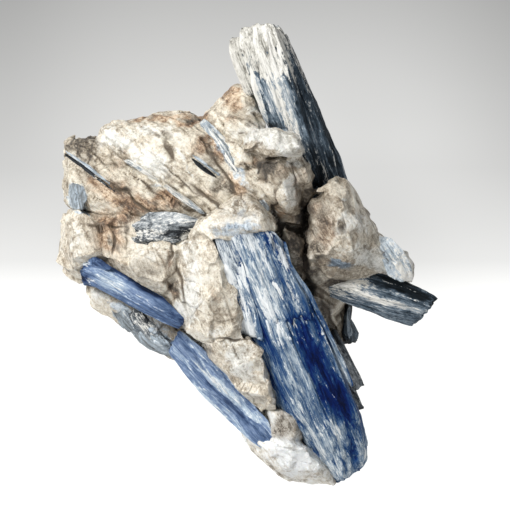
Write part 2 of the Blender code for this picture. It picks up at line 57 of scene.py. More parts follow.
# name: (rim, crown, height of the foot)
GRAINS = {
    "core": (
        [(-42.5, 26, 13), (-32, 30, 12), (-12, 33, 12), (-1, 36, 12), (13, 26, 14), (26, 14, 12), (26.5, 4, 11),
         (21, -9, 10), (16, -22, 10), (19, -36, 9), (15, -50, 9), (4, -47, 9), (-14, -28, 10), (-35, -12, 10),
         (-45.5, -1, 11), (-45, 13, 12)],
        [(-24, 21, 26), (10, 16, 27), (14, -2, 22), (-5, -19, 25), (-29, -2, 22), (10, -35, 14)], 0),
    "low_left": (
        [(-40, -8, 14), (-40.6, -10.6, 13), (-39.4, -12.2, 12), (-36, -13.2, 12), (-31.8, -16.6, 12),
         (-28.6, -20.2, 12), (-24, -23, 12), (-19, -25.8, 12), (-16, -27, 13), (-15, -22, 16), (-24.5, -12.5, 18),
         (-34.5, -7.5, 17)],
        [(-37, -11, 19), (-29, -14.5, 20.5), (-20, -19, 19)], 2),
    "low_bits": (
        [(-39.6, -8.6, 14), (-38.6, -11.8, 13), (-35.4, -12.8, 13), (-33, -10, 15), (-35.4, -7.4, 16)],
        [(-37, -9.6, 20)], 8),
    "cap_bed": (
        [(-13.9, 10.2, 31), (-8.4, 17.1, 33), (-5.4, 21.5, 33.6), (-2, 20, 34.4), (4.5, 14.6, 34), (4.5, 8.2, 30),
         (-10.9, 5.2, 29)],
        [(-8.9, 11.6, 34.2), (-3.9, 17, 35), (1, 13.6, 35)], 12),
    "plate_bed": (
        [(-34.4, 10.2, 26), (-12.9, 10.9, 30), (-11.4, 4.7, 30), (-15.4, 1, 29), (-31.9, 1, 26)],
        [(-29.8, 8.4, 28.8), (-15.3, 8.9, 31.6), (-14.9, 3.2, 30.6), (-29.3, 3, 27.8)], 12),
    "shelf_upper": (
        [(-37.7, 30.7, 23), (-35.2, 33.2, 22), (-27, 33.8, 22), (-24, 34.5, 23), (-11.9, 33.9, 26),
         (-8.9, 28.5, 32), (-5.9, 22.3, 33.5), (-5.4, 14.8, 33), (-10.4, 10.4, 32), (-16.8, 13.6, 31),
         (-24.3, 18.6, 29.5), (-30.8, 22.6, 28.5), (-37.4, 26.2, 26)],
        [(-35.3, 31.1, 28), (-25.5, 32, 30), (-14.4, 32, 31.5), (-10.6, 27.2, 34), (-8.9, 16.1, 35),
         (-21.8, 22.3, 32.5), (-32.3, 26.6, 29.5)], 14),
    "shelf_lower": (
        [(-38.9, 26.2, 25), (-30.8, 23.1, 28.5), (-24.3, 19.1, 29.5), (-10.4, 10.6, 32), (-11.9, 8.9, 31),
         (-21.8, 9.2, 29.5), (-29.4, 7.7, 27), (-37.4, 9.7, 25), (-40.9, 12.5, 24), (-41.9, 18.7, 25)],
        [(-37.2, 22.4, 29), (-29.8, 15.6, 30), (-17.3, 11.6, 31.8), (-26.8, 10.7, 29.2), (-37.8, 13.7, 27)], 12),
    "corner": (
        [(-46.2, 28.4, 18), (-43.9, 29.6, 19), (-38.8, 29.8, 20), (-37.1, 26.2, 25), (-38.3, 20.7, 26),
         (-40.4, 12.7, 25), (-44, 11.7, 23), (-46.2, 13, 18)],
        [(-42.4, 27.2, 25.5), (-39.3, 26.9, 26), (-43.8, 21.2, 26), (-40.8, 22.4, 27.6), (-43.1, 14.7, 26)], 4),
    "peak": (
        [(-12, 33.9, 24), (-8.8, 37.5, 22), (-5.5, 39.5, 21), (-4, 42, 21), (0.5, 43.2, 23), (4, 32.3, 30),
         (4, 28, 33), (-2, 25.5, 34), (-8.4, 28.5, 33)],
        [(-4.5, 39.8, 27), (-0.2, 41, 28.5), (2, 32.1, 34), (-3.9, 32.9, 33.5), (-9.4, 33.7, 30)], 8),
    "shelf_rim": (
        [(-25.7, 33.9, 24), (-23.2, 35.5, 23), (-17, 35.5, 22), (-15, 36.2, 22), (-12.5, 35.2, 24),
         (-11.7, 32.8, 29), (-24.4, 32.1, 28)],
        [(-22.4, 34.1, 27.5), (-14.9, 34.8, 28), (-13.9, 33, 31)], 10),
    "right_shelf": (
        [(-10.4, 29.5, 31.6), (-0.5, 28.9, 34), (1.5, 22.2, 35), (5.5, 14.6, 35.4), (6.4, 10.4, 34),
         (-2, 14.1, 33.6), (-8.4, 20.5, 33)],
        [(-3.9, 27.9, 35.2), (-0.5, 23.4, 36), (3.5, 14.8, 36.2), (-2, 18, 35.8)], 16),
    "left_lump": (
        [(-46.5, 10.3, 17), (-47, 3.8, 16), (-47.6, -1.8, 15), (-45.8, -5.5, 15), (-42.2, -6.8, 17),
         (-40, -2.2, 23), (-35.9, -0.7, 25), (-35.9, 2.5, 26), (-37.3, 7.5, 27), (-39.3, 10.7, 26),
         (-42.9, 11.7, 25)],
        [(-43.8, 9, 27), (-39.7, 8.7, 29), (-37, 2.2, 28.4), (-41.4, -1.7, 25.5), (-44.3, 1.7, 26)], 4),
    "hollow_floor": (
        [(-38.9, 10.7, 25), (-31.8, 9.2, 27), (-29.6, 7.5, 27.5), (-29.9, 2.5, 27), (-32.4, -0.7, 26),
         (-36.1, -0.7, 25), (-37.9, 5, 25)],
        [(-34.8, 8.2, 28), (-31.3, 5, 28.4), (-34.3, 1.2, 26.4)], 8),
    "hollow_edge": (
        [(-32.7, 4.7, 25), (-30.3, 6.2, 27), (-29.1, 2.7, 28), (-31.6, 0.2, 26)],
        [(-30.8, 4.2, 30), (-30.5, 2.2, 29.6)], 12),
    "pale_lump": (
        [(-36.2, -1.2, 24.5), (-32.3, 1.2, 27), (-26.8, 2.5, 29), (-20.6, 3.5, 31), (-16.8, 1.2, 31.5),
         (-17.1, -3.2, 30.5), (-19.6, -7.7, 29), (-21.4, -10.5, 27), (-24.4, -9, 26), (-29.4, -6, 25),
         (-33.7, -3.2, 24.5)],
        [(-31.3, 0.2, 29.4), (-24.2, 1.5, 32.6), (-18.3, 0.5, 34.4), (-20.3, -4.2, 33), (-21.8, -8.2, 30),
         (-26.8, -3.7, 30.5)], 8),
    "gap_fill": (
        [(-20.7, -3.7, 26), (-16.9, -0.7, 29), (-16.4, -6.2, 28), (-16.9, -12, 25), (-19, -12.7, 24),
         (-22.5, -11, 24)],
        [(-18.6, -3.2, 29.5), (-19.2, -9.2, 27)], 8),
    "left_column": (
        [(-17.6, 0.7, 31), (-14.8, 5.9, 35), (-12.3, 7.4, 36.5), (-9.6, 6.9, 38.4), (-7.1, 0.7, 38),
         (-4.7, -5.2, 36.2), (-2.2, -11.1, 34), (-0.5, -16.6, 31), (-10.7, -16.1, 29), (-15.4, -17.4, 26),
         (-18.7, -12.7, 27), (-17.6, -7.7, 29.5)],
        [(-13.5, 4.7, 36.6), (-10.3, 5.9, 39.2), (-8.3, 0.7, 38.8), (-6.1, -5.2, 37), (-3.7, -10.6, 34.8),
         (-10.8, -8.6, 35.2), (-15.1, -4.2, 34), (-15.1, -13.2, 29.8)], 8),
    "upper_wedge": (
        [(-15.9, -17.4, 26), (-11.1, -9.4, 35), (-6.9, -7.9, 36.2), (-4.2, -11.1, 34.6), (-1, -20.6, 30.4),
         (-6, -22.6, 28.4), (-11.2, -21.9, 26.4)],
        [(-9.8, -10.1, 36.8), (-7.1, -9.4, 37.2), (-2.5, -19.3, 32), (-6.2, -21.3, 30.4), (-13.9, -17.2, 28),
         (-10.4, -20.6, 28.8)], 7),
    "lower_wedge": (
        [(-11.2, -21.7, 24.5), (-2, -20.3, 30), (2, -20.6, 31.6), (3.7, -25.1, 30.4), (5.5, -30.6, 28),
         (6.7, -35.6, 25.4), (7.2, -39.5, 22.4), (3.5, -39.4, 18), (-0.3, -36.3, 19.5), (-4.5, -31.8, 21),
         (-8.7, -26.5, 23)],
        [(-8.9, -22.6, 28), (-2, -21.6, 31.4), (1.5, -22, 32), (3.5, -27.5, 30), (5, -34.1, 26.4), (0.5, -33.7, 25),
         (-4.2, -29.1, 26.4)], 3),
    "centre_lump": (
        [(-1.5, 24.5, 33), (12.1, 24.2, 33), (14.9, 23.3, 31), (16.7, 18.6, 28), (15.7, 15.9, 27), (13.2, 12.4, 28),
         (11.2, 9.2, 29), (8.7, 8.4, 30), (5.5, 12.4, 34), (1, 18.5, 35)],
        [(2, 22.4, 37), (8.9, 21.9, 40), (13.6, 21.5, 36), (14.1, 17.8, 35), (9.9, 11.6, 37.4), (5.9, 15.3, 38.4),
         (9.1, 18.4, 40)], 8),
    "white_block": (
        [(-1.9, 27.1, 36.5), (-0.7, 29.1, 36.5), (3.5, 31.4, 37), (7.9, 30.9, 38), (12.3, 29.7, 38),
         (13.3, 26.6, 38.5), (13.1, 23.4, 38.5), (9.1, 23.9, 38), (3.5, 25.1, 37), (-1.2, 25.4, 36.5)],
        [(0.3, 28, 40.4), (3.5, 30.6, 40.4), (7.9, 30.2, 41.6), (11.9, 29.1, 42), (12.8, 26.7, 43), (4, 27.7, 42),
         (12.5, 24, 42.3), (8.9, 24.5, 41.8), (3.7, 25.8, 41.2), (0, 26.3, 40)], 22),
    "cap": (
        [(-12.8, 7.9, 36), (-9.4, 10.6, 35), (-4.9, 13.9, 33), (-1.2, 16.3, 32), (1.3, 15.8, 32), (4, 12.6, 33),
         (7.7, 6.7, 37), (5.4, 4.7, 38), (2.7, 6.4, 39), (-0.7, 4.2, 39), (-4.6, 6.2, 39), (-8.3, 3.4, 38),
         (-10.8, 5.4, 37)],
        [(-11, 7.9, 40.4), (-8.8, 6.6, 42.8), (-3.9, 7.1, 43.9), (-0.7, 5.9, 44.1), (4.7, 6.1, 43.2), (2, 7.6, 44),
         (3.5, 10.1, 42.4), (-0.5, 14.8, 38.8), (-4.4, 12.5, 39.8), (6.4, 6.6, 40.6)], 20),
    "brown_nub": (
        [(13.9, 13.4, 29), (15.9, 17.1, 30), (17.4, 16.9, 30), (18.4, 15.1, 29), (15.9, 13.7, 29)],
        [(16.1, 15.6, 32)], 14),
    "right_lump": (
        [(21.8, 19.6, 31), (23.9, 18.6, 29), (25.4, 16.9, 27), (25.9, 15, 25.5), (27.7, 12.7, 24), (29.7, 11, 23),
         (31.5, 7.8, 21.5), (33.3, 4.3, 20), (34.6, 1.3, 19), (32.1, -2.8, 20), (26, -4.7, 24), (21.2, -5, 25),
         (16.4, -2.2, 27), (15.6, 3.7, 30), (15.6, 11.7, 31), (18.1, 15.1, 32.6)],
        [(17.1, 11.1, 34), (21.3, 18, 35), (22.9, 14.5, 37.4), (24.2, 9.6, 38), (25.2, 2.2, 36), (17.3, 1.2, 33.4),
         (27.3, 12.1, 31), (29.8, 7.7, 28.8), (32.1, 2.7, 26.4), (28.3, -2.2, 28), (20.3, -2.7, 30.6)], 4),
    "lump_foot": (
        [(14.4, 1.2, 27), (24.1, 2.5, 28), (31.9, 0.7, 24), (33.1, -5.3, 20), (29.6, -6.8, 20), (24.3, -7.3, 21),
         (18.5, -9.3, 21), (14.2, -7.2, 23)],
        [(15.9, -1.7, 31.5), (22.8, -1.7, 31), (29.3, -1.7, 28), (27.4, -4.7, 25.5), (19.4, -6.2, 27)], 3),
    "shoulder": (
        [(30.1, 5.8, 20), (32.6, 4.8, 19), (35.7, 3.5, 17), (38.2, 2, 16), (40.3, -0.3, 15), (41.3, -2.8, 15),
         (41.8, -5.8, 14), (41.5, -7.3, 14), (37, -6, 15), (31.9, -4.8, 18), (28.6, -2.8, 20)],
        [(31.3, 3.7, 28.4), (34.3, 2.5, 27.4), (37.9, 0.2, 25.2), (39.7, -2.7, 22.8), (35.9, -4.2, 25.4),
         (30.8, -2.2, 28)], 5),
    "blade_root": (
        [(13, -1.7, 24), (15.2, -1.7, 26), (21.7, -4.5, 26), (28, -4.3, 21), (26.1, -9.3, 19), (23.1, -11.5, 19),
         (18.5, -11.3, 20), (14.2, -8.2, 22)],
        [(17.9, -4.2, 28), (22.4, -5.2, 24.6), (19.5, -7.7, 23), (16.5, -7.7, 25.4)], 2),
    "knob_quartz": (
        [(13.8, -7.5, 22), (20.5, -9.8, 20), (24.6, -11.3, 15), (25.2, -14.4, 11), (24.5, -19, 10), (23.5, -23, 9),
         (22.7, -24.3, 9.5), (21.5, -24.5, 11), (19.4, -19.1, 15), (16.3, -12.8, 20)],
        [(17.2, -11.2, 25), (22, -12, 19.6), (22.6, -16.9, 14.6), (19.6, -16.8, 19), (21.4, -22.4, 13)], 3),
    "dark_wall": (
        [(8.4, 6.7, 33), (12.2, 4.7, 32), (13.7, -1.7, 29), (13.7, -7, 27), (10.9, -2.2, 31), (9.7, 2.7, 34)],
        [(10.1, 4.2, 37), (12.1, -1.2, 33.4)], 12),
    "grey_quartz": (
        [(5, -38.3, 20), (9, -38.8, 22), (12, -40.8, 22), (14, -45.7, 18), (12.6, -47.5, 17), (9.3, -49.5, 16),
         (6.8, -49.8, 15), (5.5, -44.5, 16)],
        [(6.5, -39.8, 21.4), (10, -40.2, 23), (12.5, -44.5, 21.4), (9, -47.8, 20.4), (7, -46.9, 19.4)], 4),
    "white_tip": (
        [(-2.8, -43.7, 11), (-1.5, -46.5, 10), (0.7, -49.3, 10), (3.5, -50.6, 10), (6, -53.3, 10), (7.8, -56.1, 10),
         (10.1, -57.1, 10), (14.4, -57.3, 11), (19.4, -57.8, 11), (23.2, -58.3, 12), (20.6, -53.6, 15),
         (14.6, -47.5, 17), (12.6, -47, 17), (6, -48.1, 15)],
        [(5.5, -48.6, 20.8), (9.5, -48, 22.2), (13.5, -47.7, 22.4), (18, -52.8, 20), (14.5, -55.2, 18.6),
         (8.5, -54, 18)], 4),
}  # fmt: skip

# The quartz's pieces: their grains, the size of the broad faces (along the shelf's grain, across it,
# up), their tilt and how far they are planed flat, the size of the small faces and the share of
# them that is planed, the depth of the roughness, and the size of the cells that fuse the grains.
QUARTZ_PIECES = {
    "quartz_shelf": dict(
        grains=["shelf_upper", "shelf_lower", "shelf_rim", "peak", "corner", "right_shelf", "cap_bed"],
        broad=(8, 3.2, 4), tilt=0.3, flatten=0.9,
        small=(3, 1.1, 1.3), share=0.5, rough=0.22, voxel=0.38),
    "quartz_left": dict(
        grains=["left_lump", "hollow_floor", "hollow_edge", "pale_lump", "gap_fill", "left_column", "plate_bed",
                "upper_wedge", "lower_wedge", "low_left", "low_bits", "cap"],
        broad=(7, 5, 5), tilt=0.32, flatten=0.92,
        small=(2, 1.4, 1.4), share=0.4, rough=0.11, voxel=0.38),
    "quartz_right": dict(
        grains=["centre_lump", "white_block", "brown_nub", "right_lump", "lump_foot", "shoulder", "blade_root",
                "knob_quartz", "dark_wall"],
        broad=(6.5, 4.8, 4.8), tilt=0.36, flatten=0.95,
        small=(2, 1.4, 1.4), share=0.45, rough=0.13, voxel=0.38),
    "quartz_back": dict(
        grains=["core", "grey_quartz", "white_tip"],
        broad=(4, 4, 4), tilt=0.28, flatten=0.8,
        small=(2, 1.5, 1.5), share=0.45, rough=0.14, voxel=0.43),
}  # fmt: skip

# The way each piece is streaked, in degrees, how much paler it is, and its tint.
QUARTZ_LOOKS = {
    "quartz_shelf": (SHELF_GRAIN, 0.06, (1.0, 1.0, 0.99)),
    "quartz_left": (-72, 0.03, (1.0, 1.0, 1.0)),
    "quartz_right": (-58, -0.03, (1.0, 1.0, 1.0)),
    "quartz_back": (-60, 0.10, (0.98, 1.01, 1.07)),
}

# Patches of colour on the quartz: x, y, reach along, reach across, turn in degrees, amount.
QUARTZ_PATCHES = {
    "stain": [
        (10.4, 20.5, 4, 2.2, 0, 0.5), (-21.8, 34.6, 8.9, 1, 0, 1), (-14.3, 34.4, 3.5, 1.5, 0, 1.2),
        (-10.1, 26, 3.5, 2.5, -35, 0.95), (0.8, 22.3, 2.2, 1.5, 0, 0.8), (-33.9, 5, 4.5, 5.4, 0, 0.72),
        (-33.1, 16.1, 6.4, 3, -32, 0.65), (-37.9, 19.1, 2, 1.5, 0, 0.8), (-27.9, 12.6, 6.9, 2.5, -10, 0.9),
        (-20.5, 13.6, 3.5, 1.5, -15, 0.9), (-32.2, 22.3, 2, 2.2, 0, 0.45), (-34.1, 9.2, 5.4, 2, 0, 0.7),
        (-3.9, 38.9, 2.7, 3, 0, 1.15), (-4.9, 33.4, 2.2, 1.2, 0, 0.5), (-10.6, 25.5, 3.7, 2.2, -35, 0.8),
        (-3.2, 16.8, 3, 1.7, -50, 0.7), (19.1, 5.7, 3, 4, 0, 0.62), (17.3, 11.6, 2.2, 2.5, 0, 0.5),
        (-34.9, 3, 2, 2.2, 0, 0.8), (1, 30.9, 3, 1.2, 0, 0.4), (-18.8, -1.7, 0.7, 4, 0, 0.5),
        (12.4, 16.1, 1.2, 3.5, 0, 0.5), (8.7, 11.1, 3, 1, -30, 0.7), (-18.8, -9.2, 1, 2.2, 0, 0.8),
        (-8.4, -11.1, 1.5, 1.5, 0, 0.5), (-3, -32.2, 1.2, 1, 0, 0.4), (-6.4, -26.5, 3.5, 1.2, -40, 0.25),
        (-29.7, 10.1, 3, 1.7, 0, 0.8), (-8.9, 14.8, 3.5, 2, -30, 0.4),
    ],
    # Smoky quartz, and painted shade in crevices: the long dark strips about x 11 to 16 stand for the crevice
    # beside the main bundle.
    "smoke_and_shade": [
        (23.8, 7.2, 1.7, 1.5, -60, 0.8), (-6.2, 16.6, 2, 1.5, -40, 1), (17.3, 1.5, 2.2, 2.2, 0, 0.9),
        (-29.4, 6.9, 1.2, 2, 0, 0.7), (20.6, -7.2, 3, 1.5, -10, 1), (-0.2, 31.9, 2.2, 1.2, -30, 0.6),
        (4.5, 22.3, 5, 1.5, 0, 0.8), (7.4, 20.5, 2.5, 2.5, 0, 0.4), (5, 20.5, 1.2, 3, 0, 0.8),
        (-0.2, 22, 2, 1, 0, 0.8), (-9.9, 24, 3, 2, -35, 0.7), (6.7, 15.6, 2.5, 3, 0, 0.4),
        (-24.2, -3.5, 5, 2.5, 0, 0.62), (-40.6, 27, 3.5, 3, -40, 1.25), (-10.4, 26, 2.2, 1.5, -40, 0.7),
        (2, 21.5, 2.2, 1, 0, 0.8), (13.9, 4.2, 1.5, 8.9, 0, 1.6), (18.6, 7.2, 3.2, 8.4, 0, 0.55),
        (8.9, -43.3, 4, 4, 0, 0.85), (-2.5, 9.7, 7.4, 3, 20, 0.42), (-19.8, 29.7, 2, 1.2, -50, 0.6),
        (-24.2, -3.2, 7.4, 4.5, 0, 0.35), (-14.8, 34.6, 2.2, 1, 0, 0.9), (-24.2, 34.6, 2.2, 0.7, 25, 0.6),
        (-33.6, 2.5, 1.2, 1.5, 0, 0.8), (-18.5, -8.7, 1.2, 3, 0, 0.8), (15.6, 15.6, 2, 1.7, 0, 0.7),
        (21.6, -4.2, 5.4, 1, -10, 0.45), (14.9, -3.7, 2.5, 2, 0, 0.9), (10.9, 2.5, 2, 5.9, 0, 0.8),
        (17.3, -5.7, 3.5, 1, -30, 0.6), (15.9, 7.2, 1.5, 6.9, 0, 0.6), (19.1, -13.6, 3, 4.5, -60, 0.6),
        (21.6, -21, 2, 3.5, -60, 0.7), (-8.9, -11.9, 1.5, 1.5, 0, 0.55), (-45, 18.1, 0.7, 5, 0, 0.5),
        (-10.4, -22.5, 3, 1, -20, 0.6), (-14.8, 12.4, 3.5, 1.7, -30, 0.5), (-30.2, 16.1, 1.2, 1, 40, 0.7),
        (-32.2, 1.2, 1, 1.2, 0, 0.6), (-29.7, 9.2, 3.5, 1, 0, 0.6), (-35.4, 8.2, 3.5, 0.4, 0, 0.6),
        (12.9, 0, 8.9, 2.2, -74, 0.9),
    ],
    "milk": [
        (30.2, -1.7, 4, 2, -20, 0.9), (-35.9, -10.1, 2.2, 1.5, 0, 0.9), (11.4, 22, 2.2, 1.5, 0, 0.9),
        (11.4, 15.6, 1.7, 3, 0, 0.8), (6, 10.6, 2.2, 1.5, 0, 0.5), (-4.4, 11.6, 6.4, 2, 38, 0.4),
        (-3, 8.2, 8.4, 1.7, 4, 0.55), (-0.5, 10.6, 6.4, 3.2, 0, 0.4), (-8.9, 7.2, 3.5, 1.5, 0, 0.4),
        (6, 28.5, 7.4, 2.5, -10, 1.1), (38.6, -2.7, 2.2, 3.5, -60, 1.1), (10.4, 20.5, 2, 1, 0, 0.3),
        (-32.9, 28.5, 4.5, 4, 0, 0.6), (-24.2, 23.5, 5.4, 3, -25, 0.7), (-24.2, 30.9, 7.4, 2, 0, 0.5),
        (-42.6, 2.5, 3, 6.9, 0, 0.35), (-24.2, 0, 5, 1.7, 0, 0.4), (-13.6, -1.7, 3, 8.4, 0, 0.5),
        (-14.8, -11.1, 2.5, 5, 0, 1), (-17.3, -14.1, 2, 2.5, 0, 0.9), (12.9, -51.2, 7.4, 4, -20, 0.8),
        (7.9, -48.8, 5, 3.5, 0, 0.6), (37.1, -1.7, 4.5, 3.7, 0, 1.2), (-2, -27.5, 5.9, 3, -60, 0.7),
        (23.3, 12.9, 0.7, 0.6, 0, 0.9), (25.8, 8.2, 2.5, 5.9, -70, 0.55), (28.2, 1.2, 3, 2.5, 0, 0.5),
        (24, 2.2, 2, 2, 0, 0.3), (-8.2, -18.6, 3.5, 1.5, 0, 0.4), (-0.7, -24, 3, 2, 0, 0.5),
        (-30.4, 6.7, 1.5, 1.2, 0, 0.4), (-40.3, 22.3, 3.5, 0.7, -38, 0.7), (28.2, 7.4, 2, 1.5, -40, 0.5),
        (0.5, 35.4, 2, 2.5, 0, 0.5), (-37.9, -10.4, 2.2, 1.7, 0, 0.7), (-0.7, -45, 1.5, 2.2, 0, 0.8),
        (-15.8, 24.8, 2, 0.5, -45, 0.8), (-14.8, 21, 3, 0.5, -55, 0.6),
    ],
    "blush": [
        (20.3, -16.6, 3, 5.4, 0, 0.5), (-4.9, 23.5, 11.9, 1.5, -58, 0.75), (-20.5, 16.1, 10.9, 1, -38, 0.6),
        (-41.8, 14.4, 2.5, 3.2, 0, 1.1), (-14.3, 9.2, 3.5, 1.2, -10, 0.7), (-26.7, -18.6, 7.4, 4, -30, 1),
        (-31.7, -14.1, 4.5, 2.5, -30, 0.8), (-21.3, -22.5, 4.5, 2.5, -30, 1), (-1, 9.7, 3.5, 1.5, 0, 0.55),
        (35.4, 0.7, 2.2, 2.5, -30, 0.9), (23, -2, 4.2, 1.5, -14, 0.85), (-21.8, -18.6, 2.2, 2.5, 0, 0.6),
        (-19.3, -16.1, 2.5, 1.5, 0, 0.5), (-10.6, 11.1, 2.5, 1.2, -25, 0.5), (-2, 28.5, 2.5, 1.2, -50, 0.3),
        (12.9, -1.7, 2.2, 6.9, 20, 0.6), (18.3, -12.6, 2, 3.5, -20, 0.6), (25.8, -18.6, 2, 3, 0, 0.5),
        (8.9, -45.3, 3, 2, 0, 0.15), (-40.1, -5, 2, 1.2, 0, 0.5), (-3, 6.9, 7.9, 1.5, 4, 0.75),
        (-42.1, 10.6, 2, 1, 0, 0.8),
    ],
}  # fmt: skip
CRACKS = [
    (-38.6, 20.8, 5.9, 0.3, -38, 1), (-28.9, 13.9, 7.4, 0.3, -38, 1), (-36.6, 23.5, 4, 0.2, -45, 0.8),
    (-24.2, 16.1, 8.4, 0.2, -40, 0.9), (-19.3, 26, 2.5, 0.4, -52, 1), (-17.8, 19.6, 6.4, 0.2, -46, 0.8),
    (-10.4, 14.6, 5.4, 0.3, -36, 0.9), (-16.1, 12.4, 5, 0.3, -28, 0.9), (-6.4, 20.5, 5.9, 0.3, -58, 0.9),
    (-3, 15.6, 5, 0.2, -52, 0.7), (-10.4, 26.5, 3, 0.3, -62, 0.8), (-31.7, 26, 4.5, 0.2, -30, 0.5),
    (-21.8, 29.7, 5.4, 0.2, -30, 0.4), (-35.6, 7.2, 5, 0.3, -4, 1), (-33.6, 3, 0.3, 3.5, 0, 0.9),
    (-40.6, 5.7, 4, 0.2, -50, 0.5), (-43.5, 0, 4, 0.2, -70, 0.4), (-24.2, -1.7, 5.4, 0.2, -28, 0.4),
    (-27.7, 0.2, 5, 0.2, 20, 0.4), (-18.8, 1.2, 0.3, 3.5, -10, 0.8), (-13.6, -1.7, 0.5, 7.4, -12, 0.3),
    (-16.6, -7.4, 0.3, 5.4, 10, 0.8), (-12.4, -13.1, 5, 0.2, 50, 0.45), (-3.9, -15.1, 5, 0.2, -66, 0.4),
    (-8.9, -18.6, 3.5, 0.2, -50, 0.4), (-2.5, -24.8, 7.4, 0.2, -60, 0.6), (-0.5, -33.4, 5.9, 0.2, -60, 0.5),
    (-3.9, -21, 5.9, 0.3, 6, 0.8), (6.9, 13.6, 0.3, 4, -10, 0.7), (3.5, 18.6, 5, 0.2, -20, 0.5),
    (11.9, 18.6, 0.3, 3.5, 8, 0.7), (23.5, 10.1, 5.9, 0.2, -80, 0.35), (25.8, 2.7, 4.5, 0.2, -62, 0.3),
    (26.7, 8.2, 4.5, 0.2, -60, 0.3), (22.3, -2.7, 4.5, 0.2, -10, 0.3), (17.3, -8.7, 4, 0.3, -24, 0.9),
    (20.8, -16.6, 5, 0.3, -64, 0.8), (35.7, -1.7, 4.5, 0.2, -52, 0.7), (12.9, -51.2, 5.9, 0.2, -30, 0.4),
    (9.4, -47.8, 5, 0.2, -20, 0.5),
]  # fmt: skip

# Where the quartz is splintered along the shelf, and where its faces are smooth.
SPLINTERED = [(-24, 20, 16, 12, -30, 1), (-5, 24, 6, 8, -50, 0.8)]
CALM = [
    (6, 28, 9, 5, -10, 0.2), (-24, -2, 8, 5, 0, 0.3), (-10, -14, 4, 6, 30, 0.5), (7, -44, 6, 5, 0, 0.4),
    (0, 10, 10, 7, 0, 0.75), (36, -1, 8, 6, -50, 0.4), (-11, -2, 5, 10, 0, 0.35),
]  # fmt: skip

# ---------------------------------------------------------------- tables: blades

# Straight blades, most of them inside or behind the ridged ones: start, end, facing, width,
# thickness.
UNDER_BUNDLE = [
    ((-1, 4, 30), (20, -45, 12.4), (0.1, -0.25, 0.95), 14, 12),
    ((19.5, -22, 16), (25.6, -49, 11), (0.75, -0.1, 0.65), 6, 5),
]
SIDE_FLAKES = [
    ((19.4, -19.6, 15), (26.8, -33.6, 13), (0.3, 0.1, 0.95), 4.4, 7),
    ((22.6, -30, 13), (27, -39.4, 11.5), (0.3, 0.1, 0.95), 3.8, 6),
]
UNDER_UPPER = [
    ((4.4, 54, 31), (16.5, 14.5, 20), (0, -0.2, 0.95), 11, 10),
]

# Small crystals set in the quartz: corners, and the way they run.
SMALL_CRYSTALS = {
    "edge": (
        [(-44.5, 18.5, 22.8), (-43.5, 18.1, 26.3), (-41.1, 17, 26.7), (-40.1, 14.1, 26.6), (-41.1, 11.3, 26),
         (-43.6, 11.6, 25.2), (-44.8, 14.8, 24.4), (-40.2, 16.4, 25.2), (-44, 11.4, 21.8), (-40.6, 17, 21.8),
         (-40.6, 11.7, 21.8)],
        (0.1, -1, 0)),
    "shoulder": (
        [(32.6, 5, 25), (35.8, 4.4, 28), (38.9, 1.2, 27.4), (41, -2.6, 25.8), (41, -6.4, 24), (38, -6.8, 25.4),
         (35, -5, 26.4), (34.6, -1.8, 27.6), (32.2, 1.6, 27.6), (33.6, 4.4, 20), (40.4, -6, 19), (33.4, -1, 20)],
        (0.6, -0.8, 0)),
    "low_dark": (
        [(-29, -13.6, 20.6), (-27, -13.2, 20.8), (-24.4, -17, 19.6), (-20.8, -20.6, 18), (-22, -22.4, 16.6),
         (-25.6, -20.6, 18), (-28.8, -17, 19.4), (-30, -15, 18.6), (-28.4, -15, 14), (-22, -21.6, 12),
         (-24.8, -17, 13)],
        (0.6, -0.75, -0.3)),
    "low_pale": (
        [(-35, -11.8, 18.6), (-32.4, -11.6, 19.6), (-30, -14.8, 19), (-28.2, -19, 16.8), (-30, -19.8, 15.4),
         (-33, -16.4, 17.2), (-34.8, -13.2, 18.4), (-33.6, -13, 12), (-29, -18.8, 11), (-31, -15, 11.6)],
        (0.5, -0.8, -0.3)),
    "dark_end": (
        [(-42.3, -4.5, 19.6), (-41, -3.2, 22), (-38.7, -4.2, 23.6), (-38, -6.2, 23.2), (-39, -8, 21),
         (-41.1, -7.8, 19.6), (-40.2, -5.5, 24), (-41.5, -6, 17), (-39.2, -6, 17.6)],
        (0.6, -0.7, 0)),
    "dark_hook": (
        [(-41.5, -0.7, 23), (-39.4, 0, 24.6), (-36.6, -1, 26.2), (-33.8, -3.2, 27.2), (-35.1, -4, 26.8),
         (-38.9, -2.5, 25.6), (-37.8, -1.5, 26.8), (-40.1, -1.8, 20), (-36, -2.8, 21)],
        (0.8, -0.5, 0)),
    "low_grey": (
        [(-29, -19.9, 15), (-25.6, -18.6, 18), (-22.1, -19.6, 19), (-19.1, -22.3, 18.6), (-17.9, -25.7, 15),
         (-20.7, -25.7, 14), (-24.7, -23.9, 14), (-27.7, -21.9, 14), (-23.1, -22.1, 19), (-24.8, -21.5, 9),
         (-20.8, -24, 9)],
        (0.7, -0.7, -0.2)),
}  # fmt: skip

# The broken grey crystal, given by its corners.
GREY_CRYSTAL = [
    (-30.9, 5.2, 26.6), (-29.3, 7.7, 28), (-26.8, 9.4, 29), (-24.3, 10.7, 29.8), (-21.1, 9.9, 31.2),
    (-17.6, 10.6, 32.2), (-14.3, 9.7, 32.8), (-11.6, 8.4, 33), (-12.8, 5.7, 33), (-15.1, 3.7, 32),
    (-19.3, 2.5, 30.8), (-24.3, 2, 29.6), (-28.6, 2.5, 28), (-31.4, 3.5, 26.4), (-27, 6.9, 30.2),
    (-22.3, 8.4, 31.9), (-16.3, 8.4, 33.7), (-24.5, 4.2, 31), (-17.8, 4.7, 32.8), (-27, 5.8, 22), (-17, 6.2, 24),
    (-22, 4.8, 21),
]  # fmt: skip

